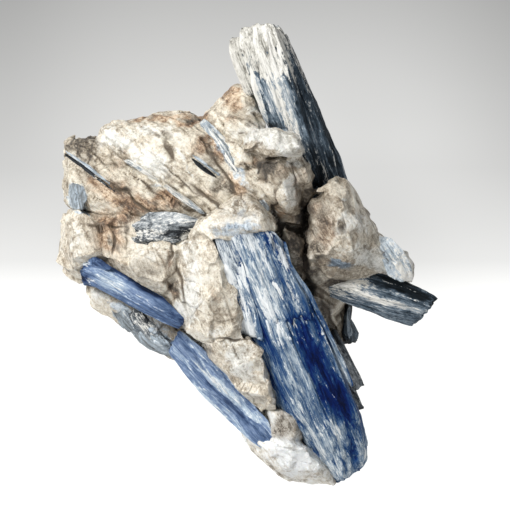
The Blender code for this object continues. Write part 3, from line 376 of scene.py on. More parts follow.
# Ridged crystals: stations along each one, with the points of its upper face from left to right.
BUNDLE_BODY = [
    [(-10.6, 6.2, 36), (-6.9, 6.9, 40.2), (-1.9, 7.4, 42), (3.5, 7.4, 42), (7.4, 4.7, 40.5), (9.2, 3.5, 36)],
    [(-9.1, -1.2, 33), (-4.9, -1.2, 37.6), (0.5, -1.7, 39.6), (5.9, -1.7, 39.8), (9.9, -1.7, 38.4),
     (10.9, -2.2, 34)],
    [(-5.7, -10.7, 29.5), (-0.5, -10.6, 34.2), (3.5, -11.1, 36.4), (8.9, -11.3, 36.8), (15.1, -10.9, 35.4),
     (16.1, -11.7, 31)],
    [(-2, -20.2, 26), (3.5, -20.6, 30.2), (6.2, -21, 33), (11.6, -21, 33.6), (19.3, -20.6, 31.6),
     (20.4, -21.4, 27)],
    [(4, -30, 22.5), (6.7, -30.1, 26.4), (9.9, -30.5, 29.6), (15.6, -31, 30), (23.4, -30.6, 28), (24.7, -31.5, 23)],
    [(7.5, -39.4, 18.5), (10.2, -39.8, 22), (13.7, -39.9, 25.5), (19.9, -40.1, 26), (27.2, -39.2, 24),
     (28.3, -39.9, 18.5)],
    [(14.1, -47, 15.5), (15.5, -47.2, 18.5), (18.3, -47.5, 21), (23, -47.8, 21.6), (28.8, -46.3, 20),
     (29.9, -46.8, 15.5)],
    [(18.4, -52.6, 14), (19.3, -53, 16), (20.8, -53.5, 18), (23.8, -53.2, 18.4), (29.1, -51.5, 17.6),
     (30, -51.4, 14)],
    [(21.7, -56.7, 13), (22.1, -56.9, 14.4), (22.9, -57.3, 15.6), (23.9, -56.8, 16.2), (26.9, -54.8, 15.6),
     (28.5, -53.7, 13)],
]  # fmt: skip
PALE_COVER = [
    [(-8.8, 6.4, 39.6), (-2.9, 7.1, 42.6), (3.5, 7.1, 42.6), (6.9, 4.7, 41.2)],
    [(-6.9, -1.7, 36.6), (0.5, -1.7, 40.2), (5.9, -1.7, 40.4), (9.6, -1.7, 39.2)],
    [(-2, -10.1, 33.6), (3.7, -10.8, 37), (8.9, -11.1, 37.4), (14.1, -10.4, 36.4)],
    [(3.5, -16.6, 33), (6.7, -17, 35.4), (10.6, -16.8, 35.8), (15.8, -15.6, 34.6)],
]  # fmt: skip
LOWER_COVER = [
    [(3.7, -14.1, 33.4), (5.9, -15.1, 35.4), (8.9, -15.5, 36)],
    [(4, -20.6, 30.8), (6.9, -21, 33.4), (10.6, -20.8, 34.2)],
    [(7.2, -29.1, 27.2), (9.9, -29.5, 30), (14.4, -29, 31)],
    [(9.7, -36.7, 23.6), (12.9, -37.1, 27), (17.9, -36.5, 28)],
    [(13.5, -44.3, 19.6), (17, -44.7, 23), (21.5, -43.7, 24)],
    [(18.1, -51.5, 16.4), (20.6, -52.2, 18.9), (23.8, -51.4, 19.6)],
    [(22.1, -56.4, 14.6), (22.9, -56.8, 16), (23.9, -56.3, 16.6)],
]  # fmt: skip
RIGHT_RIM = [
    [(8.6, 3, 38.8), (9.4, 3.2, 39)],
    [(9.6, -2.2, 38.8), (10.6, -2, 38.6)],
    [(14.3, -9.1, 36.4), (15.3, -8.9, 36.2)],
    [(18.3, -17.1, 33.2), (19.3, -16.8, 33)],
    [(22.1, -25.1, 30), (23.1, -24.8, 29.6)],
    [(25.4, -32.6, 27), (26.4, -32.4, 26.6)],
]  # fmt: skip
LEFT_FACET = [
    [(-6.4, -2.7, 36), (-3.9, -1.7, 37.6), (-1.2, -2.2, 39)],
    [(-5.4, -8.7, 33.4), (-2.4, -8.2, 34.8), (0.5, -8.6, 36.4)],
    [(-4.2, -14.1, 31), (-1, -14.1, 32.6), (2.5, -14.6, 34)],
    [(-2.5, -19.6, 28.6), (1, -20.1, 30), (4, -20.6, 31.4)],
]  # fmt: skip
UPPER_FRONT = [
    [(-2.2, 55.8, 35), (2, 56.9, 38), (6.4, 56.8, 38.6), (6.9, 56.7, 37), (7.7, 56.3, 35.5), (8.4, 55.8, 30)],
    [(-2, 52.1, 35), (2.5, 52.4, 38), (7.7, 52.7, 38.6), (8.4, 52.5, 36.6), (9.6, 52.8, 35.4), (10.4, 52.8, 30)],
    [(-0.7, 46.7, 34), (4, 47.1, 37), (9.6, 47.5, 37.6), (10.4, 47.7, 35.2), (11.9, 48, 34), (12.7, 47.7, 29)],
    [(1, 41.8, 33), (5.9, 42.2, 36), (11.4, 42.2, 36.6), (12.4, 42.3, 33.6), (14.1, 42.6, 32.6), (15.2, 42, 27.6)],
    [(3, 36.4, 31), (7.7, 36.6, 34), (12.9, 37.1, 34.6), (13.9, 37.2, 31.4), (16.1, 37.4, 30.6),
     (17.7, 36.6, 25.8)],
    [(5.5, 30.5, 29), (9.7, 30.7, 32), (14.4, 31.2, 32.6), (15.7, 31, 29), (18.4, 31.6, 28.6), (20.2, 30.7, 24)],
    [(8.2, 24.1, 27), (12.4, 24.3, 30), (16.4, 25.1, 30.4), (17.7, 24.9, 26.6), (20.7, 25.4, 26.4), (23, 24.2, 22)],
    [(11.2, 16.7, 24.6), (14.7, 16.7, 27.6), (17.9, 17.2, 27.8), (19.5, 17, 24), (22.5, 17.7, 24),
     (25.8, 15.8, 19.4)],
]  # fmt: skip
UPPER_STRIP = [
    [(-4.7, 52.7, 33), (-3.7, 53.9, 34.6), (-1.7, 53.6, 35)],
    [(-4.4, 49.7, 32.6), (-2.9, 50.1, 34.6), (-1.2, 50.1, 35)],
    [(-2.7, 44.8, 31.6), (-1.2, 45.3, 33.6), (0.5, 45.2, 34)],
    [(-0.5, 39.5, 29.6), (1, 39.9, 31.6), (2.5, 39.9, 32)],
]  # fmt: skip
RIGHT_FRONT = [
    [(18.5, -9.5, 21), (19, -8, 23.8), (20, -6.5, 24), (21.5, -4.2, 22.4)],
    [(26.1, -12.5, 19.8), (26.7, -10.2, 23.8), (27.7, -8.2, 25), (28.8, -3.5, 21.8)],
    [(34.6, -16.1, 18.2), (35.7, -13, 22.2), (36.9, -11.5, 23.6), (39.1, -6.3, 20.4)],
    [(40.9, -18.1, 16.8), (43.8, -15.3, 20.2), (45.5, -13.5, 21.4), (47.6, -10.3, 18.6)],
]  # fmt: skip
UPPER_LEFT = [
    [(-41.7, -6.7, 22.6), (-41.4, -3.7, 25), (-40.7, -0.5, 23.6)],
    [(-37.9, -8.2, 23.4), (-36.8, -5, 26.2), (-35.1, -2.2, 25.2)],
    [(-32.2, -11.2, 23.8), (-30.3, -8.5, 27), (-27.6, -6.7, 26.4)],
    [(-25.2, -15, 25), (-23.6, -12.4, 28), (-20.9, -10.7, 27)],
    [(-17.2, -18.7, 25.8), (-16.4, -17.4, 27.2), (-15.2, -16.4, 26.6)],
]  # fmt: skip
LOWER_LEFT = [
    [(-20.3, -24.1, 17.6), (-19, -21.3, 20.8), (-16.8, -18.8, 20.4)],
    [(-17.8, -27.6, 17), (-14.5, -25.3, 20.8), (-11.3, -23.5, 20)],
    [(-12.3, -34.4, 16), (-8.8, -32.3, 19.6), (-5.3, -29.8, 19)],
    [(-5.6, -41, 14.6), (-2.3, -39.1, 18), (0.7, -36.7, 17.4)],
    [(0.2, -46.3, 16), (2.8, -44.6, 18.6), (5, -41.6, 18.4)],
    [(5.5, -50, 17), (6.1, -48.4, 18.2), (6.8, -46.9, 18.2)],
]  # fmt: skip
SHELF_STREAK = [
    [(-12.1, 32.4, 32.1), (-11.4, 33.2, 32.7), (-10.6, 33.9, 32.1)],
    [(-7.4, 26.9, 33.7), (-6.4, 27.9, 34.5), (-5.4, 28.7, 33.7)],
    [(-3.4, 20, 34.7), (-2.4, 21, 35.5), (-1.2, 22, 34.7)],
    [(0.5, 14.6, 35.3), (1.5, 15.3, 36), (2.5, 16, 35.3)],
    [(3.7, 10.6, 35.4), (4.5, 11.1, 36), (5.2, 11.6, 35.4)],
]  # fmt: skip
KNOB = [
    [(24.3, -11.9, 9), (25.5, -11.6, 12), (26.5, -12.1, 9)],
    [(23.3, -15.9, 9), (24.9, -15.4, 15), (26, -16.2, 9)],
    [(22.8, -19.5, 8), (24.9, -18.9, 15.5), (28.1, -19.7, 9)],
    [(23.8, -22.8, 7.6), (25.7, -22.2, 12.5), (27.8, -21.8, 8)],
]  # fmt: skip

# Thin blades in the shelf, the same way: a rib and the ridge beyond it, one at the left edge, and one
# beside the dark sliver. Then the dark sliver, and a dark strip that is the painted shadow along the
# side of the one at the edge.
PALE_NEEDLES = [
    [[(-30.8, 23.2, 30), (-30.4, 23.5, 30.6), (-30, 23.8, 30)],
     [(-26.8, 20.8, 31), (-26.2, 21.3, 31.9), (-25.8, 21.8, 31)],
     [(-22.8, 18.5, 32), (-22.5, 18.7, 32.5), (-22.3, 19, 32)]],
    [[(-20.8, 16.8, 32.5), (-20.4, 17.2, 33.1), (-20.1, 17.6, 32.5)],
     [(-16.8, 13.6, 33.3), (-16.2, 14.2, 34.1), (-15.7, 14.7, 33.3)],
     [(-11.1, 10, 34), (-10.9, 10.3, 34.4), (-10.6, 10.5, 34)]],
    [[(-45.3, 25.4, 26.6), (-45, 25.6, 27.1), (-44.8, 25.9, 26.6)],
     [(-39.7, 21.5, 28.5), (-39.5, 21.8, 29), (-39.2, 22, 28.5)],
     [(-34.5, 17.6, 29.1), (-34.3, 17.8, 29.5), (-34.2, 18, 29.1)]],
    [[(-13.8, 24.5, 34.4), (-13.6, 24.7, 34.9), (-13.3, 25, 34.4)],
     [(-10.8, 22.2, 35), (-10.5, 22.6, 35.6), (-10.2, 22.9, 35)],
     [(-7.1, 19.5, 35), (-7, 19.6, 35.4), (-6.8, 19.9, 35)]],
]  # fmt: skip
DARK_SLIVER_AND_SHADOW = [
    [[(-14.3, 23.7, 34), (-14.1, 23.9, 34.7), (-13.8, 24.1, 34.2)],
     [(-11.6, 21.2, 34.4), (-11.2, 21.6, 35.1), (-10.9, 22, 34.8)],
     [(-8.1, 19, 34.8), (-7.9, 19.2, 35.2), (-7.6, 19.3, 35)]],
    # A painted shadow: a dark strip along the shadow side of the needle at the edge.
    [[(-45.8, 24.9, 26), (-45.5, 25.1, 26.5), (-45.3, 25.4, 26)],
     [(-39.8, 20.5, 28.1), (-39.4, 20.8, 28.6), (-39.2, 21, 28.1)],
     [(-33.3, 15.6, 29), (-33.1, 15.8, 29.3), (-33, 16, 29)]],
]  # fmt: skip

# Patches of lighter and darker crystal, and of the cream skin of quartz on it.
BUNDLE_TONE = [
    (-4.9, -0.7, 8.4, 2.2, -74, 0.18), (3.5, -1.7, 8.4, 1.7, -66, 0.26), (4.5, 4.7, 3, 1, -66, -0.34),
    (1.8, -5, 2.5, 1.2, -62, -0.14), (5.2, -13.6, 5.4, 2.7, -66, 0.24), (-1.2, -13.1, 6.4, 0.6, -62, -0.36),
    (5, -20.5, 7.4, 1.7, -64, -0.36), (8.9, -33.9, 5.9, 1.7, -62, -0.26), (-2.5, -11.1, 6.4, 2, -68, 0.18),
    (15.9, -36.4, 11.4, 1.7, -64, -0.24), (7.7, -24, 5.4, 0.4, -64, 0.34), (13.4, -19.6, 5.4, 3, -66, -0.54),
    (17.6, -26.5, 6.9, 3.7, -64, -0.56), (22.3, -35.1, 7.4, 3.7, -66, -0.61), (20.3, -35.4, 5.9, 3.2, -62, -0.6),
    (16.8, -16.6, 9.9, 1.7, -62, -0.52), (13.4, -16.6, 3.5, 2.7, -66, -0.54), (25.5, -45.8, 6.4, 2, -76, -0.34),
    (-3.9, 0.7, 8.4, 3, -72, 0.2), (8.9, -1.7, 6.4, 1.5, -64, 0.1), (9.9, -11.1, 5, 2, -64, 0.12),
    (18.3, -18.6, 12.9, 0.3, -62, 0.22), (23.5, -43.8, 3, 2.2, -62, 0.15), (27, -47.5, 5, 1.7, -75, -0.22),
    (20.6, -51.5, 5, 2, -60, 0.12), (24.5, -53.7, 2.5, 0.6, -78, -0.42), (14.1, -42.1, 7.9, 2.5, -60, -0.1),
    (25.3, -29.9, 3.5, 2, -60, -0.24), (-7.9, 2.5, 5, 1, -78, -0.12), (12.1, -11.1, 4, 0.5, -64, -0.3),
    (0.5, 3.7, 3.5, 0.7, -70, -0.2), (10.9, -12.4, 3.5, 1.5, -66, 0.3), (11.4, -27, 6.4, 1.7, -64, -0.2),
    (17.8, -40.8, 7.4, 2.2, -62, -0.34), (20.6, -47.3, 4.5, 2, -62, -0.2), (5.2, -27.2, 5.4, 1.2, -64, 0.13),
    (7.2, -2.2, 3, 1, -66, 0.26), (0.5, -12.1, 2.2, 1, -66, -0.2), (2.5, -1.7, 3, 1.5, -66, -0.12),
    (-2, 3.7, 4, 2.2, -70, 0.12), (9.4, -1.7, 3.5, 1, -66, -0.42), (8.7, -22, 3, 1.2, -64, -0.36),
    (11.7, -13.1, 2.5, 1.5, -66, 0.32), (14.6, -45.8, 3, 1, -60, 0.26), (5.5, -1.5, 2.5, 1.5, -66, 0.36),
    (-0.2, -13.1, 3, 1, -66, -0.22), (8.9, -1.5, 2.2, 1, -66, -0.4), (-0.2, -19.1, 2.2, 1.2, -66, 0.25),
    (-0.2, 4.7, 3, 1.5, -60, 0.12),
]  # fmt: skip
BUNDLE_CREAM = [
    (-0.2, -18.8, 2.5, 1.2, -66, 1.4), (-0.2, 4.7, 3.5, 1.7, -60, 1.3), (-4.9, 5.4, 7.9, 1.7, -6, 0.9),
    (7.4, -2.7, 2, 1.2, -62, 0.5), (6.9, 2.2, 6.4, 0.7, -62, 1.1), (5, 5.7, 5.4, 0.5, -66, 1),
    (10.4, -8.7, 5.4, 0.7, -62, 0.7), (3.5, -1.7, 7.4, 0.6, -66, 0.6), (-9.4, -1.7, 8.4, 1.5, -80, 0.75),
    (-5.4, 4.7, 5.9, 2.5, -60, 1.05), (-4.4, -1.2, 8.9, 3.5, -72, 1), (3.5, 0.7, 8.4, 1.2, -66, 0.75),
    (7.2, -0.7, 4, 0.7, -66, 0.5), (-3, -17.3, 5.4, 0.7, -66, 0.8), (-2, -11.6, 6.4, 2, -68, 0.6),
    (5.2, -13.1, 5.9, 2.2, -66, 0.75), (9.4, -12.6, 3, 1, -62, 0.45), (18.3, -18.6, 12.9, 0.2, -62, 0.4),
    (23.5, -44.1, 2.5, 1.7, -62, 0.3), (-7.9, -3.7, 11.4, 2, -71, 1.2), (-8.9, 3.7, 4, 2, -80, 1.2),
    (11.9, -33.9, 9.9, 1.5, -60, 0.14), (15.9, -45.3, 5, 1, -58, 0.12), (0.5, -22.3, 6.4, 1, -70, 0.4),
    (4, -29.9, 8.9, 1, -66, 0.3), (7.4, -24, 5.4, 0.3, -64, 0.5), (20.3, -51.2, 4, 1, -60, 0.15),
]  # fmt: skip
# Upper blade: the darker patches down its right side are partly its navy colour and partly a painted dark
# reflection.
UPPER_TONE_AND_REFLECTION = [
    (19.3, 32.9, 18.3, 2.2, -67, -0.34), (20.6, 23.5, 7.9, 2.7, -66, -0.36), (12.9, 47.8, 7.9, 2, -64, -0.34),
    (1, 53.2, 4, 3.5, 0, 0.35), (3.5, 48.8, 3, 3.5, 0, 0.25), (-3, 48.3, 5.4, 1.2, -65, 0.3),
    (6.2, 33.9, 4.5, 1.2, -70, 0.1), (11.9, 35.4, 7.4, 1.2, -72, 0.06), (12.9, 37.1, 11.4, 1.2, -71, -0.47),
    (16.8, 23.5, 6.9, 1.7, -68, -0.47), (18.3, 19.1, 4, 1.7, -75, -0.45), (15.4, 35.4, 15.3, 2, -67, -0.34),
    (22, 22.3, 4, 1.2, -65, -0.36), (8.9, 48.3, 6.4, 0.5, -68, -0.35), (12.1, 47.8, 8.4, 0.4, -63, -0.3),
    (7.9, 37.4, 6.4, 0.7, -72, 0.3), (12.9, 27.2, 3.5, 0.5, -62, 0.3), (-3.4, 52.7, 1, 0.7, 40, -0.35),
    (-1.7, 42.8, 1.2, 1, 0, -0.4),
]  # fmt: skip
UPPER_CREAM = [
    (1.5, 53.2, 7.4, 4.7, 0, 1.5), (4.5, 46.8, 5.4, 3.5, 0, 1.1), (-2.5, 47.3, 8.9, 2, -65, 1.5),
    (8.4, 36.9, 10.4, 1.1, -70, 0.72), (13.4, 45.8, 7.4, 1.2, -64, 0.5), (8.9, 50.2, 7.4, 1, -70, 0.8),
    (10.4, 50.7, 4.5, 0.4, -62, 0.5), (17.3, 33.9, 14.8, 1.2, -67, 0.28), (19.3, 21, 3.5, 0.7, -70, 0.5),
    (12.9, 27, 3, 0.5, -62, 0.6),
]  # fmt: skip
SHELF_TONE = [
    (-10.4, 29.9, 4, 0.5, -50, -0.3), (-3, 20.5, 5, 0.5, -55, -0.3), (-29.7, 22.5, 2.5, 0.7, -40, -0.35),
    (-21.8, 15.6, 7.4, 0.3, -38, -0.3), (-12.9, 10.6, 3, 0.5, -38, -0.3),
]  # fmt: skip
# Right blade: the darker patches on its upper side are partly its navy colour and partly a painted dark reflection.
RIGHT_TONE_AND_REFLECTION = [
    (28.7, -7.2, 3, 1.2, -17, 0.35), (35.4, -10.4, 4, 0.8, -17, -0.34), (39.4, -8.2, 8.4, 2.2, -17, -0.56),
    (43.1, -10.1, 4.5, 2.5, -17, -0.5), (23.3, -7.4, 3.5, 2.2, 0, 0.3), (31.4, -11.1, 7.4, 0.6, -15, 0.4),
    (30.7, -13.4, 6.4, 1, -17, -0.06), (38.1, -14.6, 7.4, 1.7, -17, -0.08), (32.7, -5.2, 5, 0.4, -22, -0.4),
    (30.7, -7.9, 4, 0.4, -20, 0.35), (37.6, -9.7, 5, 0.3, -18, 0.3), (43.6, -8.7, 2.5, 0.4, -15, 0.3),
]  # fmt: skip
RIGHT_CREAM = [
    (28.7, -7.2, 3, 1, -17, 1), (23.3, -7.2, 5.9, 3, -15, 1), (30.7, -10.6, 8.4, 0.6, -14, 0.9),
    (30.7, -7.9, 4, 0.5, -20, 0.6), (37.6, -9.7, 5, 0.3, -18, 0.4),
]  # fmt: skip
A_TONE = [
    (-37.4, -2.2, 3.5, 0.7, -30, -0.14), (-40.6, -5.9, 1.2, 1, 0, -0.5), (-27.2, -7.2, 8.4, 0.7, -31, -0.5),
    (-33.6, -6.4, 5, 1.7, -28, 0.34), (-27.9, -9.4, 4, 1, -30, 0.12), (-20.8, -13.1, 4.5, 2, -36, -0.08),
    (-24.2, -12.1, 7.4, 0.5, -34, 0.2), (-18.8, -15.6, 2.5, 1.5, -45, -0.12), (-40.6, -1.7, 1, 1, 0, -0.2),
]  # fmt: skip
A_CREAM = [
    (-40.8, -1.5, 1, 1, 0, 1.2), (-39.1, -6.9, 1, 0.5, 0, 0.7), (-33.6, -6.4, 3.5, 0.5, -26, 0.45),
    (-24.2, -12.1, 6.4, 0.3, -34, 0.4),
]  # fmt: skip
B_TONE = [
    (-3, -38.9, 10.4, 0.4, -45, -0.4), (-1, -39.8, 8.4, 0.7, -44, 0.06), (-10.6, -29.5, 6.4, 0.7, -45, 0.1),
    (3.5, -45.8, 2.5, 1.2, -45, -0.1), (-5.7, -33.9, 9.9, 0.4, -44, 0.22), (-14.3, -22.3, 3.5, 1.2, -42, -0.08),
    (-17.8, -18.6, 3, 1.7, -42, 0.12), (-8.4, -29, 5, 0.7, -45, -0.12),
]  # fmt: skip
B_CREAM = [
    (-5.7, -33.9, 8.9, 0.3, -44, 0.45), (1, -42.8, 4, 0.5, -44, 0.3),
]  # fmt: skip
GREY_TONE = [
    (-22.3, 2, 8.4, 0.6, 2, -0.35), (-16.8, 3.7, 3, 1.5, 0, -0.14), (-24.7, 5.7, 4, 1.5, 0, 0.15),
    (-18.1, 8.4, 4.5, 1.2, 0, 0.12), (-30.2, 3.7, 1.2, 2, 0, -0.35), (-24.2, 3.2, 5, 0.7, 0, -0.2),
]  # fmt: skip
GREY_CREAM = [
    (-15.1, 4.7, 2, 1.7, 0, 1.1), (-25, 5.4, 6.4, 1.7, 4, 0.62), (-19.3, 8.2, 5, 1.2, 0, 0.25),
    (-29.2, 7.2, 2, 1.5, 0, 0.4),
]  # fmt: skip

# ---------------------------------------------------------------- number fields

LOW_BITS = np.uint64(2**32 - 1)
CELL_MIX = (73856093, 19349663, 83492791)  # one large number for each index of a cell
KEY_SPAN, KEY_SHIFT = 2048, 900  # cells along each axis, and what makes their indices positive


def mixed_numbers(i, j, k, seed, count):
    """count repeatable numbers from 0 to 1 for each cell, by mixing its whole-number indices."""
    h = np.uint64(seed * 2654435761 % 2**32)
    for index, large in zip((i, j, k), CELL_MIX):
        h = h ^ (index.astype(np.int64).astype(np.uint64) * np.uint64(large))
    h = h & LOW_BITS
    numbers = []
    for step in range(count):
        h = ((h ^ (h >> np.uint64(15))) * np.uint64(2246822519) + np.uint64(step * 374761393)) & LOW_BITS
        h = ((h ^ (h >> np.uint64(13))) * np.uint64(3266489917)) & LOW_BITS
        numbers.append((h >> np.uint64(8)).astype(np.float64) / 2**24)
    return numbers


def neighbours(q, seed, count):
    """For each of the 27 cells about each point: its key, the offset from its moved centre, and
    count more numbers of its own."""
    base = np.floor(q)
    for shift in product((-1, 0, 1), repeat=3):
        i, j, k = (base + shift).T
        a, b, c, *rest = mixed_numbers(i, j, k, seed, 3 + count)
        key = ((i + KEY_SHIFT) * KEY_SPAN + j + KEY_SHIFT) * KEY_SPAN + k + KEY_SHIFT
        yield key.astype(np.int64), (q[:, 0] - i - a, q[:, 1] - j - b, q[:, 2] - k - c), rest


def chips(q, seed, sharp):
    """Broken steps: (slope height, level) at each point q, in cell units.

    Each cell has a tilted plane through its centre and a level. A point takes those of the nearest
    centre. Near a border it takes the mean, weighted by exp(-sharp times the distance squared).
    """
    weight, slope, level = (np.zeros(len(q)) for _ in range(3))
    for _, (x, y, z), (ta, tb, tc, lift) in neighbours(q, seed, 4):
        w = np.exp(-sharp * (x * x + y * y + z * z))
        weight += w
        slope += w * ((ta * 2 - 1) * x + (tb * 2 - 1) * y + (tc * 2 - 1) * z)
        level += w * (lift * 2 - 1)
    weight = np.maximum(weight, 1e-30)
    return slope / weight, level / weight


def scoops(q, seed, sharp):
    """Shell-like hollows meeting in ridges: the least, over the cells' centres, of the distance
    squared plus a random depth, in cell units. The least is taken softly, as minus the log of the
    sum of exp(-sharp * value), over sharp. About its mean, 0.28, is taken off."""
    total = np.zeros(len(q))
    for _, (x, y, z), (lift,) in neighbours(q, seed, 1):
        total += np.exp(-sharp * (x * x + y * y + z * z + 0.3 * lift))
    return -np.log(np.maximum(total, 1e-30)) / sharp - 0.28


def unit(vectors):
    """Vectors made one long."""
    return vectors / np.maximum(np.linalg.norm(vectors, axis=-1, keepdims=True), 1e-9)


def planed(p, n, q, seed, tilt, sharp):
    """How far each point has to move to lie on a flat broken face.

    All the points of a cell share one plane, through their mean and square to their mean normal,
    tilted a little at random. Near a border a point takes the mean of both planes, weighted by
    exp(-sharp * how much farther one centre is than the nearest, in distance squared). q is p in
    cell units. Also gives a random number for each point's cell, and how far the point is from the
    cell's border.
    """
    far, keys = [], []
    for key, (x, y, z), _ in neighbours(q, seed, 0):
        far.append(x * x + y * y + z * z)
        keys.append(key)
    far, keys = np.array(far), np.array(keys)
    nearest = far.argmin(0)
    least, second = np.partition(far, 1, axis=0)[:2]
    cells, index = np.unique(keys[nearest, np.arange(len(p))], return_inverse=True)
    count = np.bincount(index)
    middle = np.column_stack([np.bincount(index, p[:, a]) / count for a in range(3)])
    normal = unit(np.column_stack([np.bincount(index, n[:, a]) for a in range(3)]))
    random = mixed_numbers(cells, cells // 7, cells // 11, seed + 9, 3)
    normal = unit(normal + tilt * (np.column_stack(random) * 2 - 1))
    move, weight = np.zeros_like(p), np.zeros(len(p))
    for d, key in zip(far, keys):
        at = np.minimum(np.searchsorted(cells, key), len(cells) - 1)
        w = np.exp(-sharp * (d - least)) * (cells[at] == key)
        move -= ((p - middle[at]) * normal[at]).sum(1)[:, None] * normal[at] * w[:, None]
        weight += w
    return move / weight[:, None], random[0][index], np.sqrt(second) - np.sqrt(least)


def drift(q, seed):
    """Smooth noise from -1 to 1: random numbers at whole-number corners, eased between them."""
    base = np.floor(q)
    f = q - base
    f = f * f * (3 - 2 * f)
    total = np.zeros(len(q))
    for corner in product((0, 1), repeat=3):
        (number,) = mixed_numbers(*(base + corner).T, seed, 1)
        total += np.where(corner, f, 1 - f).prod(axis=1) * number
    return total * 2 - 1


def warped(p, seed, size, amount):
    """p moved about by smooth noise, so that patches and cells get uneven borders."""
    return p + amount * np.column_stack([drift(p / size, seed + s) for s in (11, 12, 13)])


def turned(x, y, degrees):
    """x and y measured along and across a direction at so many degrees."""
    c, s = np.cos(np.radians(degrees)), np.sin(np.radians(degrees))
    return x * c + y * s, y * c - x * s


def patches(points, rows, together=np.maximum):
    """The most, or the least, of 0 and what the patches give at each point. A patch is a soft
    ellipse seen from above: amount * exp(-0.7 * the square of the distance from its centre), with
    the distance counted in its reaches along and across."""
    total = np.zeros(len(points))
    for x, y, along, across, degrees, amount in rows:
        a, b = turned(points[:, 0] - x, points[:, 1] - y, degrees)
        total = together(total, amount * np.exp(-0.7 * ((a / along) ** 2 + (b / across) ** 2)))
    return total


# ---------------------------------------------------------------- meshes


def mesh_object(name, points, faces, sizes=None):
    """An object from points in mm and faces. Faces are quads, or a flat list with sizes."""
    mesh = bpy.data.meshes.new(name)
    faces = np.asarray(faces)
    if sizes is None:
        sizes = np.full(len(faces), faces.shape[1])
    loops = faces.ravel()
    mesh.vertices.add(len(points))
    mesh.vertices.foreach_set("co", (np.asarray(points) * MM).ravel().astype(np.float32))
    mesh.loops.add(len(loops))
    mesh.loops.foreach_set("vertex_index", loops.astype(np.int32))
    mesh.polygons.add(len(sizes))
    starts = np.concatenate([[0], np.cumsum(sizes)[:-1]])
    mesh.polygons.foreach_set("loop_start", starts.astype(np.int32))
    mesh.update(calc_edges=True)
    obj = bpy.data.objects.new(name, mesh)
    bpy.context.scene.collection.objects.link(obj)
    return obj


def mesh_points(mesh):
    """Vertex positions in mm and vertex normals, as arrays."""
    co, normal = (np.empty(len(mesh.vertices) * 3, np.float32) for _ in range(2))
    mesh.vertices.foreach_get("co", co)
    mesh.vertex_normals.foreach_get("vector", normal)
    return co.reshape(-1, 3).astype(np.float64) / MM, normal.reshape(-1, 3).astype(np.float64)


def set_points(mesh, points):
    """Moves the vertices, but none below the plane that the specimen lies on."""
    points[:, 2] = np.maximum(points[:, 2], 0)
    mesh.vertices.foreach_set("co", (points * MM).ravel().astype(np.float32))
    mesh.update()


def set_field(mesh, name, values):
    """A number, or a vector, for each vertex, which the materials read by name."""
    values = np.asarray(values, np.float32)
    kind, key = ("FLOAT", "value") if values.ndim == 1 else ("FLOAT_VECTOR", "vector")
    field = mesh.attributes.new(name, kind, "POINT")
    field.data.foreach_set(key, values.ravel())


def hull_planes(corners, tiny=1e-6):
    """(middle, normals, distances) of a convex body's faces: every plane through three corners
    that has all the others on one side, each kept once, measured from the corners' middle."""
    middle = corners.mean(0)
    p = corners - middle
    a, b, c = (p[list(at)] for at in zip(*combinations(range(len(p)), 3)))
    n = np.cross(b - a, c - a)
    length = np.linalg.norm(n, axis=1)
    keep = length > tiny
    n, a = n[keep] / length[keep, None], a[keep]
    h = (n * a).sum(1)
    n, h = n * np.sign(h)[:, None], np.abs(h)
    outside = (n @ p.T > h[:, None] + tiny).any(1)
    planes = np.unique(np.round(np.column_stack([n, h])[~outside], 4), axis=0)
    return middle, planes[:, :3], planes[:, 3]


def index_grid(rows, columns):
    """Row and column numbers of a grid's squares, each as one flat array."""
    return (g.ravel() for g in np.meshgrid(np.arange(rows), np.arange(columns), indexing="ij"))


def cube_sphere(count):
    """Unit directions over the six sides of a cube, (6 * count * count) quads, with seams closed.

    Each side is a grid in two angles from -45 to 45 degrees, and a direction is the side's axis
    plus the tangents of the two angles, made unit length.
    """
    t = np.tan(np.linspace(-np.pi / 4, np.pi / 4, count + 1))
    i, j = index_grid(count + 1, count + 1)
    u, v = t[i], t[j]
    one = np.ones_like(u)
    sides = [(one, u, v), (-one, v, u), (v, one, u), (u, -one, v), (u, v, one), (v, u, -one)]
    points = unit(np.concatenate([np.column_stack(s) for s in sides]))
    i, j = index_grid(count, count)
    a = i * (count + 1) + j
    quad = np.column_stack([a, a + count + 1, a + count + 2, a + 1])
    faces = np.concatenate([quad + s * (count + 1) ** 2 for s in range(6)])
    _, first, back = np.unique(np.round(points, 6), axis=0, return_index=True, return_inverse=True)
    return points[first], back.ravel()[faces]


def grain_surface(corners, spacing=0.6):
    """A convex grain as one closed grid: along each direction from its middle, the point where the
    nearest of its planes is met. Directions are stretched to the grain's own proportions first."""
    corners = np.array(corners, float)
    middle, n, h = hull_planes(corners)
    stretch = np.ptp(corners, axis=0) / 2
    count = int(np.clip(np.pi / 2 * stretch.max() / spacing, 8, 64))
    d, faces = cube_sphere(count)
    d = d * stretch
    reach = 1 / (d @ n.T / h).max(1)
    return middle + d * reach[:, None], faces


def joined(parts):
    """Several (points, faces) as one."""
    starts = np.cumsum([0] + [len(p) for p, _ in parts])
    return np.concatenate([p for p, _ in parts]), np.concatenate([f + at for (_, f), at in zip(parts, starts)])


def fused(obj, voxel):
    """Overlapping closed grids made one skin by a voxel remesh."""
    change = obj.modifiers.new("fuse", "REMESH")
    change.mode = "VOXEL"
    change.voxel_size = voxel * MM
    change.use_smooth_shade = False
    graph = bpy.context.evaluated_depsgraph_get()
    mesh = bpy.data.meshes.new_from_object(obj.evaluated_get(graph))
    obj.modifiers.clear()
    old, obj.data = obj.data, mesh
    mesh.name = obj.name
    bpy.data.meshes.remove(old)


# ---------------------------------------------------------------- quartz


def grain_corners(name):
    """The corners of a grain: its rim, its crown, and its foot, which is the rim drawn in."""
    rim, crown, foot_z = GRAINS[name]
    rim = np.array(rim, float)
    foot = rim.mean(0) + (rim - rim.mean(0)) * FOOT_SIZE
    foot[:, 2] = foot_z
    return np.concatenate([rim, np.array(crown, float), foot])


